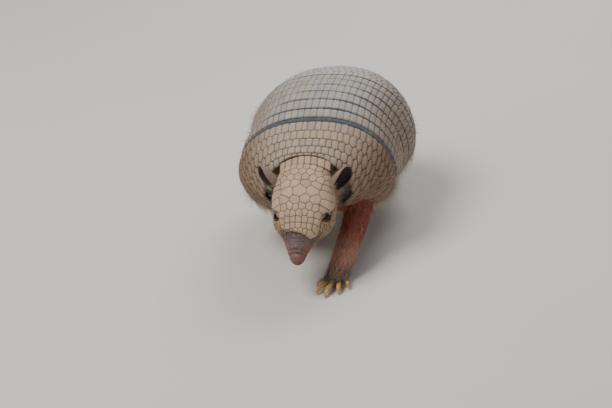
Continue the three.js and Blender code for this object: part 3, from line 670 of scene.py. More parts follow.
def nuchal_band():
    rng = draws(NUCHAL_DRAWS)
    front, rear = np.array(NUCHAL["front"], float), np.array(NUCHAL["rear"], float)
    length = float(np.linalg.norm(rear - front))
    run = (rear - front) / length
    half, kept = NUCHAL["half"], {}

    def place(u, v, depth):
        y, z = (lerp(front[k], rear[k], v) for k in (0, 1))
        return stack(NUCHAL["middle"] + u * half, y - u * u * NUCHAL["sweep"] + run[1] * depth,
                     z - u * u * NUCHAL["drop"] - run[0] * depth)

    def top(u, v):
        gap, kept["tone"], _ = bricks([0, length], v * length, u * half, NUCHAL_WIDTH, 0.0, rng)
        edge = np.minimum(np.minimum(v, 1 - v) * length, (1 - np.abs(u)) * half)
        # The rear edge is darkened too: a joint's dark line, with painted shade over the gap before the
        # shoulder shield.
        kept["joint"] = np.maximum(bell(gap, 0.55), bell((1 - v) * length, 0.7))
        return place(u, v, relief(gap, 0.6) + margin(edge, 1.1) + 0.2 * (kept["tone"] - 0.5))

    columns, rows = int(2 * half / NUCHAL_GRAIN), int(length / NUCHAL_GRAIN)
    return slab_object("nuchal_band_plates", columns, rows, top, lambda u, v: place(u, v, HEAD_SHIELD), kept,
                       step=5)


def build_shell():
    shoulder, bands, pelvic, head = (scute_finish(name, *look) for name, look in SCUTE_LOOKS.items())
    rows = even_rows(0, SHOULDER_END, *SHOULDER_ROWS)
    made = shell_plate("shoulder_scutes", 0, SHOULDER_END, rows)
    put(made, shoulder, "shell", "shoulder_shield")
    for i in range(BAND_COUNT):
        start = FIRST_BAND + i * BAND_PITCH if i else FOLD_END
        end = FIRST_BAND + (i + 1) * BAND_PITCH - BAND_GAP
        made = shell_plate(f"band_{i + 1}_scutes", start, end, [start, end], BAND_SINK, BAND_GRAIN)
        put(made, bands, "shell", f"band_{i + 1}")
    rows = even_rows(PELVIC_START, BACK_LENGTH, *PELVIC_ROWS)
    put(shell_plate("pelvic_scutes", PELVIC_START, BACK_LENGTH, rows), pelvic, "shell", "pelvic_shield")
    put(head_shield(), head, "head_shield", "head_shield")
    put(nuchal_band(), head, "head_shield", "nuchal_band")


# ---------------------------------------------------------------- flesh


class Curve:
    """A smooth curve with its own axes: forward along it, across it, and up."""

    def __init__(self, path, side=(1, 0, 0), count=160):
        self.points = spline(path, count)
        self.forward = unit(np.gradient(self.points, axis=0))
        side = np.array(side, float)
        self.across = unit(side - self.forward * (self.forward @ side)[:, None])
        self.up = np.cross(self.across, self.forward)


def limb_sections(path, sizes, side=(1, 0, 0), blunt=0.12):
    """place(t, angle) for round sections along a curve, rounded at both ends."""
    curve = Curve(path, side)
    run = np.linspace(0, 1, len(curve.points))
    width = track([(t, w) for t, w, _ in sizes])
    depth = track([(t, d) for t, _, d in sizes])

    def at(values, t):
        return np.stack([np.interp(t, run, values[:, k]) for k in range(3)], axis=-1)

    def place(t, angle):
        t, angle = np.broadcast_arrays(t, angle)
        end = np.minimum(1, np.minimum(t / blunt, (1 - t) / blunt))
        taper = np.sqrt(np.maximum(0.06, 1 - (1 - end) ** 2))
        w, d = width(t) * taper, depth(t) * taper
        return (at(curve.points, t) + at(curve.across, t) * (np.sin(angle) * w)[..., None]
                + at(curve.up, t) * (np.cos(angle) * d)[..., None])

    return place


class Chart(Curve):
    """A limb's own coordinates, to find where on it a point lies."""

    def __init__(self, path, sizes, side=(1, 0, 0)):
        super().__init__(path, side, 90)
        step = np.linalg.norm(np.diff(self.points, axis=0), axis=1)
        self.run = np.concatenate([[0], np.cumsum(step)])
        self.length = self.run[-1]
        self.half = np.interp(self.run / self.length, *zip(*sizes))

    def read(self, points):
        """Which points lie near the limb, and for those: along, angle, share of the half width, forward."""
        room = self.half.max() * 1.6
        low, high = self.points.min(0) - room, self.points.max(0) + room
        at = np.flatnonzero(((points > low) & (points < high)).all(1))
        apart = ((points[at, None] - self.points[None]) ** 2).sum(-1)
        i = apart.argmin(1)
        off = points[at] - self.points[i]
        along = self.run[i] + (off * self.forward[i]).sum(-1)
        angle = np.arctan2((off * self.across[i]).sum(-1), (off * self.up[i]).sum(-1))
        return at, along, angle, np.sqrt(apart.min(1)) / self.half[i], self.forward[i]


def fold_ridge():
    """The ridge of skin between the shoulder shield and the first band."""
    start, end = SHOULDER_END + 1.5 * GAP, FOLD_END - 1.5 * GAP

    def place(depth):
        def side(u, v):
            s = lerp(start, end, v)
            crest = 1.5 * (1 - v) ** 2 + 0.3 * v ** 4
            return shell_point(s, u * np.radians(shell_edge(s)), depth + crest)
        return side

    return slab(240, 8, place(SHOULDER_FOLD - 0.3), place(TRUNK_DEPTH + 2), step=1)


def trunk_place(t, angle):
    t, angle = np.broadcast_arrays(t, angle)
    s = lerp(2, BACK_LENGTH - 3, t)
    turn = np.abs(angle) / math.pi
    reach = np.where(angle < 0, -1, 1) * np.radians(shell_edge(s))
    depth = np.full(s.shape, TRUNK_DEPTH)
    over = shell_point(s, reach * np.minimum(turn / BENEATH_SHELL, 1), depth)
    edge = shell_point(s, reach, depth)
    under = np.clip((turn - BENEATH_SHELL) / (1 - BENEATH_SHELL), 0, 1) * math.pi / 2
    belly = stack(edge[..., 0] * raised(np.cos(under), 0.7),
                  lerp(edge[..., 1], track(BELLY_Y)(s), np.sin(under)),
                  lerp(edge[..., 2], track(BELLY_Z)(s), raised(np.sin(under), 0.8)))
    return np.where((turn < BENEATH_SHELL)[..., None], over, belly)


def head_place(t, angle):
    t, angle = np.broadcast_arrays(t, angle)
    l = lerp(HEAD_BACK, HEAD_LENGTH, t)
    end = np.clip((HEAD_LENGTH - l) / 9, 0.03, 1)
    blunt = np.sqrt(1 - (1 - end) ** 2)
    top, bottom = head_top(l), head_bottom(l)
    middle = lerp(top, bottom, CHEEK_LEVEL)
    reach = np.where(np.cos(angle) > 0, top - middle, middle - bottom) * blunt
    power = 2 / HEAD_SQUARENESS
    return in_head(head_bend(l) + raised(np.sin(angle), power) * head_half_width(l) * blunt, l,
                   middle + raised(np.cos(angle), power) * reach)


def neck_place(t, angle):
    rows = np.array(NECK, float)
    y, z, w, h = (track(list(enumerate(rows[:, k]))) for k in range(4))
    i = t * (len(NECK) - 1)
    return stack(np.sin(angle) * w(i), y(i), z(i) + np.cos(angle) * h(i))


def leg_parts(leg):
    """The two limbs of a leg, each run past the joint between them."""
    made = []
    for part, joint, inward in (("upper", -1, -2), ("lower", 0, 1)):
        path, ends = leg[part].copy(), leg[part + "_half"]
        path[joint] = path[joint] + unit(path[joint] - path[inward]) * ends[joint] * 0.6
        sizes = [(0, ends[0], ends[0]), (1, ends[1], ends[1])]
        made.append(tube(40, 48, limb_sections(path, sizes, blunt=0.13)))
    return made


def foot_reach(leg):
    """From the heel to the ball of the foot, level."""
    return (leg["ball"] - leg["heel"]) * (1, 1, 0)


def paw(leg, half):
    """The foot without its toes, from behind the heel to the ball."""
    reach = foot_reach(leg)
    heel, ball = leg["heel"] - reach * 0.15, leg["ball"] + reach * 0.12
    middle = lerp(heel, ball, 0.5) + (0, 0, 1.2)
    sizes = [(0, half * 0.84, 10.5), (0.5, half * 0.95, 11.5), (1, half, 9.5)]
    return tube(32, 32, limb_sections([heel, middle, ball], sizes, np.cross(unit(reach), UPWARD), 0.28))


def cuff(leg, half):
    """The flesh that rounds out a wrist or ankle, between the lower leg and the paw."""
    above, wrist = leg["lower"][-2:]
    end = leg["lower_half"][1]
    run = [lerp(above, wrist, 0.3), wrist + (0, 0, 1.5), lerp(wrist, leg["ball"], 0.75) + (0, 0, 0.5)]
    sizes = [(0, end * 0.98, end * 0.98), (0.5, end, end * 0.98), (1, half * 0.9, 9)]
    return tube(32, 32, limb_sections(run, sizes, blunt=0.25))


def toe_axes(leg, spread):
    """A toe's way forward, and the way across it."""
    turn = np.array(Matrix.Rotation(math.radians(leg["side"] * spread), 3, "Z"))
    along = turn @ unit(foot_reach(leg))
    return along, unit(np.cross(along, UPWARD))


def toe_root(leg, spread, half):
    """Where a toe leaves the foot: the toes stand in a bowed row across the ball."""
    ahead = unit(foot_reach(leg))
    outward = np.cross(ahead, UPWARD) * -leg["side"]
    offset = spread / 36 * half * 0.72
    return leg["ball"] + outward * offset - ahead * abs(offset) * 0.45


def level(point, z):
    return np.array([point[0], point[1], z])


def toe(leg, half, spread, length, claw_half):
    along, across = toe_axes(leg, spread)
    root = toe_root(leg, spread, half) - along * 5
    tip = level(root + along * (length + 5), TOE_HEIGHT)
    knuckle = level(lerp(root, tip, 0.55), TOE_HEIGHT + 3)
    wide = claw_half + 1.8
    sizes = [(0, wide, wide), (1, wide * 0.92, wide)]
    return tube(24, 24, limb_sections([root, knuckle, tip], sizes, across, 0.34))


def ear_axes(side):
    """An ear's base, the way it points, the way its mouth opens, and its length."""
    base = in_head(side * EAR["base"][0], *EAR["base"][1:])
    axis = in_head(side * EAR["tip"][0], *EAR["tip"][1:]) - base
    length = float(np.linalg.norm(axis))
    axis = axis / length
    mouth = np.array([side * 0.8, -0.6, 0])
    return base, axis, unit(mouth - axis * (mouth @ axis)), length


def ear(side):
    """A funnel-shaped ear, open outwards and forwards."""
    base, axis, mouth, length = ear_axes(side)
    across = np.cross(axis, mouth)
    turn_at, radius_at, root = track(EAR_TURN), track(EAR_RADIUS), EAR["root"]

    def wall(depth):
        def place(u, v):
            turn = (u * np.radians(turn_at(v)))[..., None]
            radius = (radius_at(v) - depth)[..., None]
            up = ((length + root) * v - root)[..., None]
            return (base + axis * up + mouth * (EAR_OPENING - np.cos(turn) * radius)
                    + across * np.sin(turn) * radius)
        return place

    return slab(64, 44, wall(0), wall(EAR["wall"]), step=1)


def union(parts):
    """Points and faces of several closed meshes, as one."""
    points, faces, first = [], [], 0
    for part_points, part_faces in parts:
        points.append(part_points)
        faces += [tuple(n + first for n in face) for face in part_faces]
        first += len(part_points)
    return np.vstack(points), faces


def toes_of(name):
    return (FORE_TOES, FORE_FOOT) if name.startswith("fore") else (HIND_TOES, HIND_FOOT)


def raw_skin():
    """The flesh as one closed mesh, with its junctions smoothed."""
    parts = [tube(120, 150, trunk_place), tube(120, 140, head_place), tube(80, 20, neck_place)]
    parts += [fold_ridge(), ear(1), ear(-1)]
    tail_sizes = [(t, r, r) for t, r in TAIL_HALF]
    parts.append(tube(48, 120, limb_sections(TAIL_PATH, tail_sizes, blunt=0.04)))
    for name, leg in LEGS.items():
        toes, half = toes_of(name)
        parts += leg_parts(leg) + [paw(leg, half), cuff(leg, half)]
        parts += [toe(leg, half, spread, length, claw_half) for spread, length, _, claw_half in toes]
    made = new_object("skin", *union(parts))
    remesh = made.modifiers.new("remesh", "REMESH")
    remesh.mode = "VOXEL"
    remesh.voxel_size = VOXEL * MM
    smooth = made.modifiers.new("smooth", "SMOOTH")
    smooth.factor = 0.5
    smooth.iterations = 5
    apply_modifiers(made)
    return made


def apply_modifiers(made):
    evaluated = made.evaluated_get(bpy.context.evaluated_depsgraph_get())
    mesh = bpy.data.meshes.new_from_object(evaluated)
    made.modifiers.clear()
    made.data = mesh
    shade_smooth(mesh)


def thin(skin):
    """Fewer faces where the shell covers the skin, and somewhat fewer beneath and behind."""
    along = np.linspace(0, BACK_LENGTH, 80)
    edge = shell_point(along, np.radians(shell_edge(along)), np.full(80, PLATE))

    def hidden(x, y, z, hx, l, hz):
        """Well under the shell or the head shield."""
        under_shell = (y > -90) & (y < 96) & (z > np.interp(y, edge[:, 1], edge[:, 2]) + 7) & (l < -16)
        room = head_shield_half(l) - 4 - np.abs(hx - head_bend(l))
        return under_shell | (room > 0) & (l > 8) & (l < 74) & (hz > head_surface(hx, l) - 3)

    def plain(x, y, z, hx, l, hz):
        """Behind the shoulders, on the right foreleg, or on the nape."""
        return (y > -60) | (x < 0) & (y > -110) & (l < -20) | (l < 3)

    def beneath(x, y, z, hx, l, hz):
        """The lower side of the left foreleg and of the jaw."""
        leg = (x > 14) & (z < 62) & (y < -60)
        return leg | (hz < lerp(head_top(l), head_bottom(l), 0.7)) & (l < 80)

    for chosen, keep in ((hidden, 0.02), (plain, 0.26), (beneath, 0.6)):
        points = mesh_points(skin.data)
        inside = chosen(*points.T, *to_head(points))
        group = skin.vertex_groups.new(name="thin")
        group.add(np.flatnonzero(inside).tolist(), 1.0, "REPLACE")
        fewer = skin.modifiers.new("thin", "DECIMATE")
        fewer.ratio = 1 - (1 - keep) * inside.mean()
        fewer.vertex_group = "thin"
        apply_modifiers(skin)
        skin.vertex_groups.clear()


def refine(skin):
    """Halves the faces round the eyes and at the tip of the snout."""
    bm = bmesh.new()
    bm.from_mesh(skin.data)
    bm.faces.ensure_lookup_table()
    middles = np.array([f.calc_center_median() for f in bm.faces]) / MM - ROW_SHIFT
    eyes = [eye_axes(side)[0] for side in SIDES]
    near_eye = np.min([((middles - eye) ** 2).sum(-1) for eye in eyes], axis=0) < FINE_ROUND_EYE ** 2
    picked = np.flatnonzero(near_eye | (to_head(middles)[1] > FINE_SNOUT))
    edges = {edge for k in picked for edge in bm.faces[int(k)].edges}
    bmesh.ops.subdivide_edges(bm, edges=sorted(edges, key=lambda e: e.index), cuts=1, use_grid_fill=True)
    bm.to_mesh(skin.data)
    bm.free()
    shade_smooth(skin.data)


def blurred(mesh, values, rounds):
    """Values on points, evened out along the edges."""
    pairs = np.empty(len(mesh.edges) * 2, np.int32)
    mesh.edges.foreach_get("vertices", pairs)
    a, b = pairs.reshape(-1, 2).T
    count = np.bincount(a, minlength=len(values)) + np.bincount(b, minlength=len(values))
    flat = values.copy()
    for _ in range(rounds):
        for k in range(flat.shape[1]):
            near = np.bincount(a, flat[b, k], len(flat)) + np.bincount(b, flat[a, k], len(flat))
            flat[:, k] = 0.4 * flat[:, k] + 0.6 * near / np.maximum(count, 1)
    return flat


# ---------------------------------------------------------------- eyes


def eye_axes(side):
    """The middle of an eyeball, its long axis towards the snout, its axis up, and its gaze."""
    gaze = unit(HEAD_AXES @ np.array([side * 0.8, -0.2, 0.56]))
    ahead = HEAD_AXES @ np.array([0, -1.0, 0])
    ahead = unit(ahead - gaze * (ahead @ gaze))
    up = np.cross(gaze, ahead) * -side
    middle = in_head(side * EYE["x"] + head_bend(EYE["l"]), EYE["l"], EYE["z"])
    middle = middle - gaze * EYE["set_back"]
    return middle, unit(ahead + up), unit(up - ahead), gaze


def lid_distance(u, v):
    """How far a point of the eye's plane lies outside the opening between the lids."""
    bow = 1 - (u / LID_HALF_LENGTH) ** 2
    between = np.maximum(v - UPPER_LID * bow, -LOWER_LID * bow - v) * 0.85
    corner = np.hypot(np.abs(u) - LID_HALF_LENGTH, v)
    return np.where(np.abs(u) < LID_HALF_LENGTH, between, np.minimum(corner, np.abs(between) + corner))


def set_eye(points, side):
    """Opens the skin round an eye: moved points, how far each is outside the lids, and how high beside it."""
    middle, long, up, gaze = eye_axes(side)
    off = points - middle
    near = (off ** 2).sum(-1) < EYE["reach"] ** 2
    u, v, w = (off[near] @ axis for axis in (long, up, gaze))
    ball = np.sqrt(np.maximum(EYE["ball"] ** 2 - (u * u + v * v), 0))
    out = lid_distance(u, v)
    lid = ball + 0.25 + 0.75 * bell(out - 1.1, 0.9)
    hollow = 0.7 * bell(out - 3.4, 1.2)
    rim = np.where(out < 0, ball - 1.4 * smoothstep(0, 0.5, -out), lid)
    front = w > -1.5
    shaped = np.where(front, lerp(rim, w - hollow, smoothstep(0.9, 3.4, out)), w)
    moved = points.copy()
    moved[near] += (shaped - w)[:, None] * gaze
    outside = np.full(len(points), FAR_OUTSIDE)
    height = np.zeros(len(points))
    outside[near] = np.where(front, out, FAR_OUTSIDE)
    height[near] = v
    return moved, outside, height


def eyeball(side):
    """An eyeball, a little raised over the cornea, marked with the angle from its gaze."""
    middle, long, up, gaze = eye_axes(side)
    rings, around = 28, 48
    tilt = np.linspace(0, math.pi, rings + 1)[1:-1]
    turn = np.linspace(0, 2 * math.pi, around, endpoint=False)
    t, a = np.meshgrid(tilt, turn, indexing="ij")
    radius = EYE["ball"] + CORNEA * bell(t, 0.55)
    wall = middle + (radius * np.cos(t))[..., None] * gaze + (radius * np.sin(t))[..., None] * (
        np.cos(a)[..., None] * long + np.sin(a)[..., None] * up)
    points, faces = capped(wall, middle + gaze * (EYE["ball"] + CORNEA), middle - gaze * EYE["ball"])
    angle = np.concatenate([t.ravel(), [0, math.pi]])
    word = "left" if side > 0 else "right"
    made = new_object(f"eyeball_{word}", points, faces, attributes={"angle": angle})
    put(made, eye_finish(), "eye", f"eye_{word}")


# ---------------------------------------------------------------- claws


def flattened(section):
    """The same sections with their undersides drawn up."""
    def place(t, angle):
        flat = np.where(np.cos(angle) < 0, 0.45, 0)[..., None]
        return lerp(section(t, angle), section(t, np.where(angle < 0, -1, 1) * math.pi / 2), flat)
    return place


def claws(name):
    """The five digging claws of a foot: curved, sharp, and flatter beneath."""
    leg = LEGS[name]
    toes, half = toes_of(name)
    parts, ages = [], []
    for spread, length, claw_length, claw_half in toes:
        along, across = toe_axes(leg, spread)
        root = level(toe_root(leg, spread, half) + along * (length - 3), TOE_HEIGHT + 2)
        middle = root + along * (claw_length * 0.55 + 2)
        tip = level(root + along * (claw_length + 2), CLAW_TIP_HEIGHT)
        sizes = [(t, claw_half * wide, claw_half * deep) for t, wide, deep in CLAW_SIZES]
        parts.append(tube(28, 40, flattened(limb_sections([root, middle, tip], sizes, across, 0.05))))
        ages.append(np.clip(((parts[-1][0] - root) @ along) / (claw_length + 2), 0, 1))
    made = new_object(f"claws_{name}", *union(parts), attributes={"length": np.concatenate(ages)})
    put(made, claw_look, "claw", *[f"{name}_claw_{n + 1}" for n in range(len(toes))])


# ---------------------------------------------------------------- skin


class Skin:
    """Everything known of each point of the skin: colour, joints, gloss, lie of its hair, and its region."""

    def __init__(self, made):
        self.made = made
        self.points = mesh_points(made.data)
        self.normals = mesh_normals(made.data)
        self.count = len(self.points)
        self.colour = np.tile(rgb(TONES["trunk"]), (self.count, 1))
        self.joint = np.zeros(self.count)
        self.gloss = np.full(self.count, 0.62)
        self.lift = np.zeros(self.count)
        self.lie = np.tile(np.array([0, 0.8, -0.6]), (self.count, 1))
        self.region = {"trunk": np.ones(self.count), "ears": np.zeros(self.count)}
        x, y, z = self.points.T
        self.map = np.stack([(y + 260) / 600, np.arctan2(x, z - 75) / (2 * math.pi) + 0.5], axis=1)
        self.lie[:, 0] = np.sign(x) * 0.25
        self.rng = draws(SKIN_DRAWS)

    def paint(self, weight, key):
        self.colour = lerp(self.colour, np.array(rgb(TONES[key])), weight[:, None])

    def clear(self, weight):
        """Takes away the relief and the joints laid so far."""
        self.lift *= 1 - weight
        self.joint *= 1 - weight

    def spread(self, at, values):
        """Values of some of the points, and zero for the others."""
        full = np.zeros(self.count)
        full[at] = values
        return full

    def scales(self, kind, weight, along, around, at=slice(None)):
        """Rows of scales over some of the points."""
        pitch, width, depth, ragged, shingle = SCALES[kind]
        rows = list(np.arange(along.min() - pitch, along.max() + 2 * pitch, pitch))
        gap, _, row = bricks(rows, along, around, width, 1.0, self.rng, ragged)
        share = (along - np.array(rows)[row]) / pitch
        self.lift[at] += weight * (shingle * (share - 0.5) - relief(gap, depth, 0.6))
        self.joint[at] = np.maximum(self.joint[at], weight * bell(gap, 0.55))


def detail_trunk(skin):
    """Warty rows across the belly, and the grey ridge behind the shoulder shield, with painted shade on its
    front and in its creases.
    """
    x, y, z = skin.points.T
    belly = 1 - smoothstep(50, 75, z)
    skin.paint(belly, "belly")
    skin.scales("belly", belly, y, np.arctan2(x, 75 - z) * 60)
    stations = np.arange(SHOULDER_END - 6, FOLD_END + 6, 0.5)
    turns = np.arange(-115, 116, 1.0)
    tree = KDTree(len(stations) * len(turns))
    for i, spot in enumerate(shell_surface(stations[:, None], np.radians(turns)[None, :]).reshape(-1, 3)):
        tree.insert(spot, i)
    tree.balance()
    fold, ahead, crease = np.zeros((3, skin.count))
    for n in np.flatnonzero((y > -120) & (y < -45) & (z > 50)):
        _, i, far = tree.find(skin.points[n])
        if far < FOLD_REACH:
            s = stations[i // len(turns)]
            fold[n] = 1 - smoothstep(2.6, 4.5, abs(s - (SHOULDER_END + FOLD_END) / 2) - 1.2)
            ahead[n] = fold[n] * (1 - smoothstep(SHOULDER_END + 0.8, SHOULDER_END + 4.2, s))
            crease[n] = fold[n] * math.sin(1.1 * (i % len(turns)))
    skin.paint(fold, "fold")
    # Painted shade: darker on the fold's front, under the shoulder shield's rear edge, and in the hollows of
    # its creases.
    skin.paint(np.maximum(ahead, 0.5 * np.clip(-crease, 0, 1)), "fold_painted_shade")
    skin.lift += 0.2 * crease


def detail_neck(skin):
    """Folded grey skin with small scales."""
    x, y, z = skin.points.T
    neck = 1 - smoothstep(-104, -96, y)
    skin.paint(neck, "neck")
    skin.scales("neck", neck, y, np.arctan2(x, z - 96) * 36)
    skin.region["neck"] = neck.copy()
    skin.region["trunk"] = 1 - neck


def detail_head(skin):
    """Scaly cheeks, jaw and snout. Gives how far out of the head each point is, 1 being its surface."""
    hx, hl, hz = to_head(skin.points)
    top, bottom = head_top(hl), head_bottom(hl)
    middle = lerp(top, bottom, CHEEK_LEVEL)
    reach = np.where(hz > middle, top - middle, middle - bottom)
    power = HEAD_SQUARENESS
    share = ((np.abs(hx - head_bend(hl)) / head_half_width(hl)) ** power
             + (np.abs(hz - middle) / reach) ** power) ** (1 / power)
    head = (1 - smoothstep(1.12, 1.3, share)) * smoothstep(-12, -6, hl) * (skin.points[:, 1] < -100)
    height = (hz - middle) / reach  # 1 on the top of the head and -1 beneath
    skin.clear(head)
    skin.region["neck"] *= 1 - head
    skin.paint(head, "cheek")
    skin.paint(head * (1 - smoothstep(-0.75, -0.25, height)), "jaw")
    around = np.arctan2(hx - head_bend(hl), hz - middle) * head_half_width(hl)
    cheek = head * (1 - smoothstep(84, 94, hl)) * smoothstep(-0.95, -0.5, height)
    skin.scales("cheek", cheek, hl, around)
    detail_snout(skin, head, height)
    detail_mouth(skin, head, middle, bottom)
    outward = unit(stack(np.sign(hx) * 0.5, 0.7, -0.45) @ HEAD_AXES.T)
    skin.lie = lerp(skin.lie, outward, head[:, None])
    hairy = smoothstep(-0.9, -0.4, -np.abs(height + 0.25)) * (1 - smoothstep(96, 104, hl))
    skin.region["cheek"] = head * hairy
    skin.region["head"] = head
    skin.region["trunk"] = np.maximum(0, skin.region["trunk"] - head)
    return share


def detail_snout(skin, head, height):
    """The mottled, wrinkled bridge with highlights painted on its pale spots, its redder sides, and the pad
    of the nose behind its grooves.
    """
    hx, hl, _ = to_head(skin.points)
    bridge = head * smoothstep(80, 87, hl + 5 * np.abs(height)) * smoothstep(-0.5, 0.3, height)
    skin.paint(bridge, "snout")
    sides = smoothstep(88, 99, hl) * (1 - smoothstep(0.2, 0.75, height)) * smoothstep(-1, -0.5, height)
    skin.paint(head * sides, "snout_side")
    red = smoothstep(90, 97, hl) * smoothstep(-0.3, 0.1, height) * (1 - smoothstep(0.5, 0.93, height))
    skin.paint(0.6 * head * red, "snout_pink")
    pale, pink = np.zeros((2, skin.count))
    for n in np.flatnonzero(bridge > 0.1):
        spot = skin.points[n]
        pale[n] = noise.noise(spot / 1.8) + 0.5 * noise.noise(spot / 0.8)
        pink[n] = noise.noise(spot / 3.2 + 50) + 0.4 * noise.noise(spot / 1.1)
    skin.paint(bridge * smoothstep(0.15, 0.55, pink) * 0.4, "snout_pink")
    # Painted highlights: pale spots over the bridge, set on the small bumps that the same noise raises.
    skin.paint(bridge * smoothstep(0.15, 0.55, pale) * 0.6, "snout_highlight")
    skin.lift += 0.3 * bridge * np.clip(pale, -1, 1) * smoothstep(85, 88, hl)
    nose = head * smoothstep(105.5, 108, hl) * smoothstep(-0.9, -0.4, height)
    skin.paint(nose, "nose")
    skin.gloss -= 0.14 * nose + 0.2 * bridge
    over = smoothstep(-0.6, 0.2, height) * head
    skin.lift += over * (0.5 * bell(hl - PAD_RIDGE, 1.3) - 0.9 * bell(hl - PAD_GROOVES[0], 0.8)
                         - 1.0 * bell(hl - PAD_GROOVES[1], 0.9) + 0.5 * smoothstep(107, 110, hl))
    skin.lift += over * 0.3 * smoothstep(84, 87, hl) * (1 - smoothstep(88, 95, hl))
    for crease in SNOUT_CREASES:
        skin.lift -= over * 0.35 * bell(hl - crease + 0.6 * np.sin(hx * 0.9 + crease), 0.6)


def detail_mouth(skin, head, middle, bottom):
    """The line of the mouth, and the nostrils, both sunk and darkened with painted shade."""
    hx, hl, hz = to_head(skin.points)
    mouth = bell(hz - lerp(middle, bottom, 0.42), 0.75) * smoothstep(60, 66, hl) * head
    mouth *= 1 - smoothstep(113, 116, hl)
    skin.lift -= 1.5 * mouth
    # Painted shade in the mouth's groove.
    skin.paint(0.8 * mouth, "socket")
    for side in SIDES:
        off = np.hypot(hx - side * NOSTRIL["apart"] - head_bend(hl), hz - middle - NOSTRIL["up"])
        nostril = bell(off, NOSTRIL["radius"]) * smoothstep(112.5, 115, hl)
        skin.lift -= 2.6 * nostril
        # Painted shade in the nostril.
        skin.paint(np.clip(1.3 * nostril, 0, 1), "socket")


def detail_ears(skin, share):
    """Pale backs, and dark insides: darker skin deepened with painted shade. share tells how far out of the
    head each point is.
    """
    for side in SIDES:
        base, axis, mouth, _ = ear_axes(side)
        rise = (skin.points - base) @ axis
        centre = base + rise[:, None] * axis + mouth * EAR_OPENING
        out = np.linalg.norm(skin.points - centre, axis=1)
        ear_share = smoothstep(-1, 3, rise) * (1 - smoothstep(12, 14, out)) * (share > 1.04) * (rise < 45)
        inward = ((centre - skin.points) * skin.normals).sum(-1) / np.maximum(out, 1e-6)
        skin.clear(ear_share)
        skin.paint(ear_share, "ear_back")
        # The ear's inside: darker skin, deepened with painted shade of the funnel.
        skin.paint(ear_share * smoothstep(0, 0.35, inward), "ear_inside_shade")
        skin.region["neck"] *= 1 - ear_share
        tuft = ear_share * (1 - smoothstep(5, 11, rise)) * smoothstep(0, 0.4, -inward)
        skin.region["ears"] = np.maximum(skin.region["ears"], tuft)
        skin.lie = lerp(skin.lie, axis + mouth * 0.9, ear_share[:, None])


def limb_charts():
    """Charts of the legs from the hip or shoulder down, and of the tail, with the limb each belongs to."""
    for name, leg in LEGS.items():
        for part in ("upper", "lower"):
            yield name, part, Chart(leg[part], list(enumerate(leg[part + "_half"])))
        half = toes_of(name)[1]
        heel, ball, ahead = leg["heel"], leg["ball"], unit(foot_reach(leg))
        path = [heel, lerp(heel, ball, 0.5), ball + ahead * 14]
        yield name, "foot", Chart(path, [(0, half), (1, half)], np.cross(ahead, UPWARD))
    yield "tail", "tail", Chart(TAIL_PATH, TAIL_HALF)


def detail_limbs(skin):
    """Legs, feet and tail, with scales in rows along each."""
    z = skin.points[:, 2]
    for name, part, chart in limb_charts():
        at, along, angle, far, forward = chart.read(skin.points)
        weight = (1 - smoothstep(1.1, 1.35, far)) * (1 - skin.region["head"][at])
        if part == "upper":
            weight = weight * (1 - smoothstep(chart.length - 1, chart.length + 8, along))
        full = skin.spread(at, weight)
        skin.clear(full)
        around = angle * np.interp(along, chart.run, chart.half)
        kind = part if part in SCALES else "leg"
        if part == "tail":
            skin.paint(full, "tail")
            skin.scales(kind, weight, along, around, at)
        elif part == "foot":
            skin.paint(full * (1 - smoothstep(13, 24, z)), "foot")
            skin.scales(kind, weight, along, around, at)
            tip = weight * smoothstep(chart.length - 17, chart.length - 8, along)
            skin.paint(skin.spread(at, tip), "toe")
        else:
            fore = name.startswith("fore")
            skin.paint(full, "leg" if fore else "hind")
            if part == "lower":
                low = weight * smoothstep(chart.length * 0.35, chart.length * 0.8, along)
                skin.paint(skin.spread(at, low) * (0.9 if fore else 0.4), "leg_low")
            skin.scales(kind, weight, along, around, at)
            skin.joint[at] *= 1 - 0.55 * weight
        skin.lie[at] = lerp(skin.lie[at], forward, weight[:, None])
        skin.map[at, 0] = along / chart.length
        skin.map[at, 1] = angle / (2 * math.pi) + 0.5
        skin.region[name] = np.maximum(skin.region.get(name, 0), full)
        skin.region["trunk"] *= 1 - full
    skin.paint((z < SOLE_TOP).astype(float), "sole")
    skin.lift *= 1 - smoothstep(0, 2.5, 3 - z)


def finish_skin(skin):
    """Moves the points out by their relief, opens the eyes, and writes the markings."""
    mesh = skin.made.data
    skin.colour = blurred(mesh, skin.colour, 2)
    points = skin.points + skin.normals * skin.lift[:, None]
    for side in SIDES:
        points, outside, height = set_eye(points, side)
        skin.joint[outside < 5] *= 0.2
        lid = bell(outside - 2.2, 1.0)
        upper = smoothstep(-0.6, 0.8, height)
        skin.paint(lid * upper, "lid")
        skin.paint(lid * (1 - upper), "lower_lid")
        # Darker skin above the eye, deepened with painted shade in the hollow under the shield's edge.
        skin.paint(bell(outside - 4.4, 0.9) * upper * 0.85, "socket")
        skin.paint(1 - smoothstep(0.7, 1.4, outside), "rim")
    points[:, 2] = np.maximum(points[:, 2], LOWEST_SKIN)
    set_mesh_points(mesh, points)
    skin.points, skin.normals = points, mesh_normals(mesh)
    set_attribute(mesh, "markings", skin.colour)
    set_attribute(mesh, "joint", skin.joint)
    set_attribute(mesh, "gloss", skin.gloss)


def build_skin():
    made = raw_skin()
    thin(made)
    refine(made)
    skin = Skin(made)
    detail_trunk(skin)
    detail_neck(skin)
    share = detail_head(skin)
    detail_ears(skin, share)
    detail_limbs(skin)
    finish_skin(skin)
    nodes = [name + part for name in LEGS for part in ("", "_foot")]
    put(made, skin_finish(), "skin", "trunk", "shoulder_fold", "neck", "head", "snout", "ear_left",
        "ear_right", "tail_base", "tail_tip", *nodes)
    return skin


# ---------------------------------------------------------------- hair


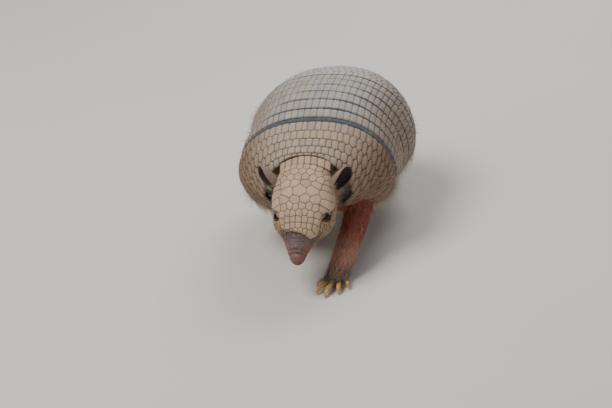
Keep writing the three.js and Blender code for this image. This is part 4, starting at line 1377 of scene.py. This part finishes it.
def hair_faces(count):
    """Three-sided tapering rings, closed at the root and at the tip, for each of count hairs."""
    faces = []
    for a in range(0, (HAIR_RINGS - 1) * HAIR_SIDES, HAIR_SIDES):
        b = a + HAIR_SIDES
        for n in range(HAIR_SIDES):
            m = (n + 1) % HAIR_SIDES
            faces += [(a + n, a + m, b + m), (a + n, b + m, b + n)]
    last = (HAIR_RINGS - 1) * HAIR_SIDES
    faces += [(last + n, last + (n + 1) % HAIR_SIDES, HAIR_POINTS - 1) for n in range(HAIR_SIDES)]
    faces.append((2, 1, 0))
    return (np.array(faces)[None] + (np.arange(count) * HAIR_POINTS)[:, None, None]).reshape(-1, 3)


def hairs(name, slot, root, normal, lie, length, rise, thickness, colour, place, rng):
    """Tapering bristles as one closed mesh.

    Each starts under the surface at its root, leaves it at the angle rise in degrees, and bends over
    towards the lie of the coat. place gives each root's spot on the map.
    """
    count = len(root)
    lie = unit(lie - normal * (lie * normal).sum(-1, keepdims=True))
    side = np.cross(normal, lie)
    swing = rng.normal(0, 0.22, count)
    lie = lie * np.cos(swing)[:, None] + side * np.sin(swing)[:, None]
    rise = np.radians(rise)[:, None]
    away = normal * np.sin(rise) + lie * np.cos(rise)
    side = unit(np.cross(away, normal) + 1e-6)
    over = np.cross(side, away)
    curl = rng.normal(0, 0.07, count)[:, None]
    bow = lie * 0.3 - normal * 0.34 * np.sin(rise) - HAIR_DROOP * UPWARD
    t = np.linspace(0, 1, HAIR_RINGS)
    points = []
    for share in t:
        bend = share ** 2 * length[:, None]
        middle = root + away * (length * share)[:, None] + side * curl * bend + bow * bend
        if share == 0:
            middle = middle - away * HAIR_SUNK
        girth = (thickness * (1 - 0.8 * share ** 1.5))[:, None]
        for n in range(HAIR_SIDES):
            turn = 2 * math.pi * n / HAIR_SIDES
            points.append(middle + (side * math.cos(turn) + over * math.sin(turn)) * girth)
    points.append(points[-1] + away * (0.06 * length)[:, None])
    grid = np.stack(points, axis=1)
    floor = LOWEST_HAIR * np.arange(1, HAIR_POINTS + 1) / HAIR_POINTS
    grid[..., 2] = np.maximum(grid[..., 2], floor)
    made = new_object(name, grid.reshape(-1, 3), hair_faces(count).tolist(), attributes={
        "markings": np.repeat(colour, HAIR_POINTS, axis=0),
        "length": np.tile(np.append(np.repeat(t, HAIR_SIDES), 1), count)})
    patch = np.stack([np.append(np.tile(np.arange(HAIR_SIDES) / 2, HAIR_RINGS), 0.5),
                      np.append(np.repeat(t, HAIR_SIDES), 1)], axis=1) * PATCH
    spots = (place[:, None] + patch[None] - PATCH / 2).reshape(-1, 2)
    loops = np.empty(len(made.data.loops), np.int32)
    made.data.loops.foreach_get("vertex_index", loops)
    made.data.uv_layers.new(name="OFBake").data.foreach_set("uv", spots[loops].astype(np.float32).ravel())
    put(made, hair_look, slot)


def hair_colour(base, count, rng, pale):
    """Straw to white, taking a little from the skin beneath."""
    straw = lerp(np.array(rgb("#b59a6c")), np.array(rgb("#e4d9c0")), rng.random((count, 1)))
    return lerp(base, straw, pale)


def shell_hairs():
    """Bristles from the rear edges of the scutes, and a fringe from under the shell's edge."""
    rng = draws(SHELL_HAIR_DRAWS)
    band_rears = [FIRST_BAND + BAND_PITCH * (i + 1) - 1.5 for i in range(BAND_COUNT)]
    stations = SHOULDER_HAIR_ROWS + band_rears + PELVIC_HAIR_ROWS

    s = rng.choice(stations, SHELL_HAIRS)
    side = rng.choice([-1, 1], SHELL_HAIRS)
    phi = side * np.radians(shell_edge(s)) * rng.random(SHELL_HAIRS) ** 0.6 * 0.97
    length = rng.uniform(7, 13, SHELL_HAIRS) + 3 * (np.abs(phi) > 1) * rng.random(SHELL_HAIRS)
    parts = [("shell", s, phi, length, rng.uniform(10, 40, SHELL_HAIRS), 0.3, 0.3)]

    s = rng.choice(band_rears + PELVIC_HAIR_ROWS[:1], FLANK_HAIRS)
    side = rng.choice([-1, 1], FLANK_HAIRS, p=[0.7, 0.3])
    phi = side * np.radians(rng.uniform(55, 92, FLANK_HAIRS))
    length = rng.uniform(8, 15, FLANK_HAIRS)
    parts.append(("flank", s, phi, length, rng.uniform(25, 60, FLANK_HAIRS), 0.3, 0.3))

    s = rng.uniform(8, 286, FRINGE_HAIRS)
    side = rng.choice([-1, 1], FRINGE_HAIRS)
    phi = side * (np.radians(shell_edge(s)) - rng.uniform(0.01, 0.05, FRINGE_HAIRS))
    length = rng.uniform(10, 20, FRINGE_HAIRS)
    parts.append(("fringe", s, phi, length, rng.uniform(0, 18, FRINGE_HAIRS), PLATE - 0.4, 1.4))

    for key, s, phi, length, rise, depth, hang in parts:
        count = len(s)
        rear = unit(shell_surface(s + 0.5, phi) - shell_surface(s - 0.5, phi))
        turn = np.sign(phi) * 0.02
        down = shell_surface(s, phi + turn) - shell_surface(s, phi - turn)
        lie = rear + unit(down) * (0.35 + hang * rng.random((count, 1)))
        colour = hair_colour(np.array(rgb("#8c6c52")), count, rng, 0.5)
        place = np.stack([s / BACK_LENGTH * 0.98 + 0.01, phi / math.radians(240) + 0.5], axis=1)
        hairs(f"{key}_hairs", "shell", shell_point(s, phi, np.full(count, depth)), shell_normal(s, phi), lie,
              length, rise, rng.uniform(0.1, 0.16, count), colour, place, rng)


def skin_hairs(skin):
    z = skin.points[:, 2]
    for k, (key, count, shortest, longest, low, high, thick, pale) in enumerate(COATS):
        rng = draws(COAT_DRAWS, k)
        weight = skin.region[key].copy()
        if key == "trunk":
            weight *= (1 - smoothstep(78, 92, z)) * smoothstep(30, 40, z)
        weight[z < BARE_BELOW] = 0
        chosen = np.flatnonzero(rng.random(len(weight)) < weight)
        chosen = rng.permutation(chosen)[:count]
        size = len(chosen)
        hairs(f"{key}_hairs", "skin", skin.points[chosen], skin.normals[chosen], skin.lie[chosen],
              rng.uniform(shortest, longest, size), rng.uniform(low, high, size),
              rng.uniform(0.8, 1.2, size) * thick, hair_colour(skin.colour[chosen], size, rng, pale),
              skin.map[chosen] * 0.98 + 0.01, rng)


# ---------------------------------------------------------------- camera, floor and light


def add_camera():
    a, e, roll = (math.radians(CAMERA[key]) for key in ("azimuth", "elevation", "roll"))
    back = np.array([math.sin(a) * math.cos(e), -math.cos(a) * math.cos(e), math.sin(e)])
    level_right = np.array([math.cos(a), math.sin(a), 0])
    level_up = np.cross(back, level_right)
    right = level_right * math.cos(roll) + level_up * math.sin(roll)
    up = level_up * math.cos(roll) - level_right * math.sin(roll)
    place = (np.array(CAMERA["target"]) + ROW_SHIFT + back * CAMERA["distance"]) * MM
    aside = (PICTURE[0] / 2 - TARGET_PIXEL[0]) / FOCAL_PIXELS
    above = (TARGET_PIXEL[1] - PICTURE[1] / 2) / FOCAL_PIXELS
    look = unit(-back + right * aside + up * above)
    side = unit(np.cross(look, up))
    turn = Matrix(np.stack([side, np.cross(side, look), -look], 1)).to_4x4()
    data = bpy.data.cameras.new("camera")
    data.lens = FOCAL_PIXELS / PICTURE[0] * data.sensor_width
    data.clip_end = 50
    camera = bpy.data.objects.new("camera", data)
    camera.matrix_world = Matrix.Translation(Vector(place)) @ turn
    bpy.context.scene.collection.objects.link(camera)
    bpy.context.scene.camera = camera


def add_light(name, place, size, power, colour):
    data = bpy.data.lights.new(name, "AREA")
    data.shape = "DISK"
    data.size = size
    data.energy = power
    data.color = colour
    lamp = bpy.data.objects.new(name, data)
    lamp.location = place
    lamp.rotation_euler = (Vector(LIT_PLACE) - Vector(place)).to_track_quat("-Z", "Y").to_euler()
    bpy.context.scene.collection.objects.link(lamp)


def add_stage():
    points = [(x * FLOOR_HALF, y * FLOOR_HALF, 0) for x, y in ((-1, -1), (1, -1), (1, 1), (-1, 1))]
    floor = new_object("floor", points, [(0, 1, 2, 3)], smooth=False)
    f = Finish("floor")
    floor.data.materials.append(f.done(f.mix(f.noise(3, 4), "#cfcac2", "#d8d4cd"), 0.85))
    for light in LIGHTS:
        add_light(*light)
    world = bpy.data.worlds.new("studio")
    world.use_nodes = True
    background = world.node_tree.nodes["Background"]
    background.inputs["Color"].default_value = (0.9, 0.93, 1, 1)
    background.inputs["Strength"].default_value = 0.3
    bpy.context.scene.world = world


# ---------------------------------------------------------------- finishes


class Finish:
    """A small builder for one procedural material. Scales are per metre, in the object's own frame."""

    def __init__(self, name):
        self.material = bpy.data.materials.new(name)
        self.material.use_nodes = True
        self.tree = self.material.node_tree
        self.shader = self.tree.nodes["Principled BSDF"]
        self.coordinates = self.tree.nodes.new("ShaderNodeTexCoord").outputs["Object"]

    def link(self, value, socket):
        """Feeds a socket with another socket, a number, linear values, or the six hex digits of a colour."""
        if isinstance(value, bpy.types.NodeSocket):
            self.tree.links.new(value, socket)
        elif isinstance(value, str):
            socket.default_value = (*rgb(value), 1)
        else:
            socket.default_value = (*value, 1) if isinstance(value, tuple) else value

    def node(self, kind, **inputs):
        """A new node with some of its inputs fed."""
        made = self.tree.nodes.new("ShaderNode" + kind)
        for key, value in inputs.items():
            self.link(value, made.inputs[key.replace("_", " ")])
        return made

    def attribute(self, key):
        made = self.node("Attribute")
        made.attribute_name = key
        return made.outputs["Color" if key == "markings" else "Fac"]

    def noise(self, scale, detail=3.0, rough=0.55, stretch=None):
        place = self.coordinates
        if stretch:
            mapping = self.node("Mapping", Vector=place)
            mapping.inputs["Scale"].default_value = stretch
            place = mapping.outputs["Vector"]
        return self.node("TexNoise", Scale=scale, Detail=detail, Roughness=rough, Vector=place).outputs["Fac"]

    def pores(self, scale):
        made = self.node("TexVoronoi", Scale=scale, Vector=self.coordinates)
        made.feature = "DISTANCE_TO_EDGE"
        return self.span(made.outputs["Distance"], 0.0, 0.12)

    def times(self, a, b):
        made = self.node("Math")
        made.operation = "MULTIPLY"
        self.link(a, made.inputs[0])
        self.link(b, made.inputs[1])
        return made.outputs[0]

    def span(self, value, low, high, to_low=0.0, to_high=1.0):
        made = self.node("MapRange", Value=value, From_Min=low, From_Max=high, To_Min=to_low, To_Max=to_high)
        made.interpolation_type = "SMOOTHSTEP"
        return made.outputs["Result"]

    def mix(self, factor, a, b, blend="MIX"):
        made = self.node("Mix")
        made.data_type = "RGBA"
        made.blend_type = blend
        for socket, value in ((0, factor), (6, a), (7, b)):
            self.link(value, made.inputs[socket])
        return made.outputs[2]

    def laid(self, base, colour, mask, share):
        """A base with some of another colour over it, where the mask says."""
        return self.mix(self.times(mask, share), base, colour)

    def bump(self, height, strength, distance_mm, under=None):
        made = self.node("Bump", Strength=strength, Distance=distance_mm * MM, Height=height)
        if under is not None:
            self.link(under, made.inputs["Normal"])
        return made.outputs["Normal"]

    def done(self, colour, roughness, normal=None, **constants):
        self.link(colour, self.shader.inputs["Base Color"])
        self.link(roughness, self.shader.inputs["Roughness"])
        if normal is not None:
            self.link(normal, self.shader.inputs["Normal"])
        for key, value in constants.items():
            self.shader.inputs[key.replace("_", " ")].default_value = value
        return self.material


def scute_finish(name, crown, crown_grey, flank, joint, seam_shade, wear):
    """Horny scutes: each its own tone, with dark joints and fine scratches."""
    f = Finish(name)
    tone = f.attribute("tone")
    dark = tuple(c * 0.62 for c in rgb(crown))
    bright = tuple(min(1, c * 1.6) for c in rgb(crown))
    base = f.mix(f.span(tone, 0.1, 0.9), crown, crown_grey)
    # Browner down the sides, partly the shell's own colour and partly painted shade.
    base = f.mix(f.attribute("flank"), base, flank)
    base = f.laid(base, dark, f.span(f.noise(90, 5), 0.35, 0.7), 0.35)
    base = f.laid(base, dark, f.span(tone, 0.55, 1.0), 0.5 * wear - 0.3)
    base = f.laid(base, bright, f.span(f.noise(900, 4, 0.7), 0.42, 0.68), 0.24 * wear)
    base = f.laid(base, joint, f.span(f.noise(1300, 3, 0.6), 0.56, 0.7), 0.3 * wear)
    colour = f.laid(base, joint, f.attribute("joint"), 0.86)
    # Painted shade along the seams between plates and on their undersides.
    if seam_shade:
        colour = f.laid(colour, seam_shade, f.attribute("seam_shade"), 0.85)
    grain = f.bump(f.noise(1500, 5, 0.7), 0.35, 0.5)
    grain = f.bump(f.noise(260, 4, 0.6), 0.4 * wear, 1.0, grain)
    rough = f.span(f.noise(500, 3), 0.3, 0.7, 0.48, 0.68)
    return f.done(colour, rough, grain, Specular_IOR_Level=0.35)


def skin_finish():
    """Leathery skin: its markings are on the mesh, with pores and fine wrinkles."""
    f = Finish("skin")
    base = f.attribute("markings")
    mottle = f.span(f.noise(140, 5, 0.6), 0.3, 0.7)
    colour = f.laid(base, f.mix(1.0, base, (0.5, 0.46, 0.44), "MULTIPLY"), mottle, 0.4)
    colour = f.laid(colour, "#2a1c17", f.attribute("joint"), 0.75)
    bump = f.bump(f.noise(420, 5, 0.6), 0.5, 0.7, f.bump(f.pores(1500), 0.35, 0.3))
    return f.done(colour, f.attribute("gloss"), bump, Subsurface_Weight=0.0, Specular_IOR_Level=0.4)


def claw_finish():
    """Horn: amber, browner at the root, with fine streaks along it."""
    f = Finish("claw")
    streaks = f.span(f.noise(900, 4, 0.6, (1, 0.25, 1)), 0.3, 0.7)
    base = f.mix(f.span(f.attribute("length"), 0.05, 0.5), "#7a5228", f.mix(streaks, "#a97c39", "#c9a05a"))
    colour = f.laid(base, "#6b4a2a", f.span(f.noise(350, 4), 0.45, 0.7), 0.45)
    return f.done(colour, 0.36, f.bump(f.noise(1300, 3, 0.5, (1, 0.2, 1)), 0.3, 0.3))


def hair_finish():
    """Bristle: the marking of its root, paler towards the tip."""
    f = Finish("hair")
    paler = f.span(f.attribute("length"), 0.0, 1.0, 0.0, 0.35)
    return f.done(f.mix(paler, f.attribute("markings"), "#efe6d2"), 0.45, Specular_IOR_Level=0.35)


def eye_finish():
    """A wet eye: near black pupil, dark brown iris, and reddish rim."""
    f = Finish("eye")
    angle = f.attribute("angle")
    iris = f.mix(f.span(f.noise(2500, 3), 0.35, 0.65), "#1a0d06", "#2e180c")
    colour = f.mix(f.span(angle, 0.3, 0.36), "#050404", iris)
    colour = f.mix(f.span(angle, 0.78, 0.95), colour, "#3b1c14")
    return f.done(colour, 0.06, Specular_IOR_Level=0.22)


def put(made, look, slot, *nodes):
    """Gives a piece its finish, puts it under the root, and hides the solids of the nodes it stands for. slot
    is not used.
    """
    made.data.materials.append(look)
    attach(made, "root")
    if nodes:
        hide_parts(*nodes)


# ---------------------------------------------------------------- build

hair_look = hair_finish()
claw_look = claw_finish()

add_camera()
add_stage()
build_shell()
coated = build_skin()
for eye_side in SIDES:
    eyeball(eye_side)
for leg_name in LEGS:
    claws(leg_name)
shell_hairs()
skin_hairs(coated)
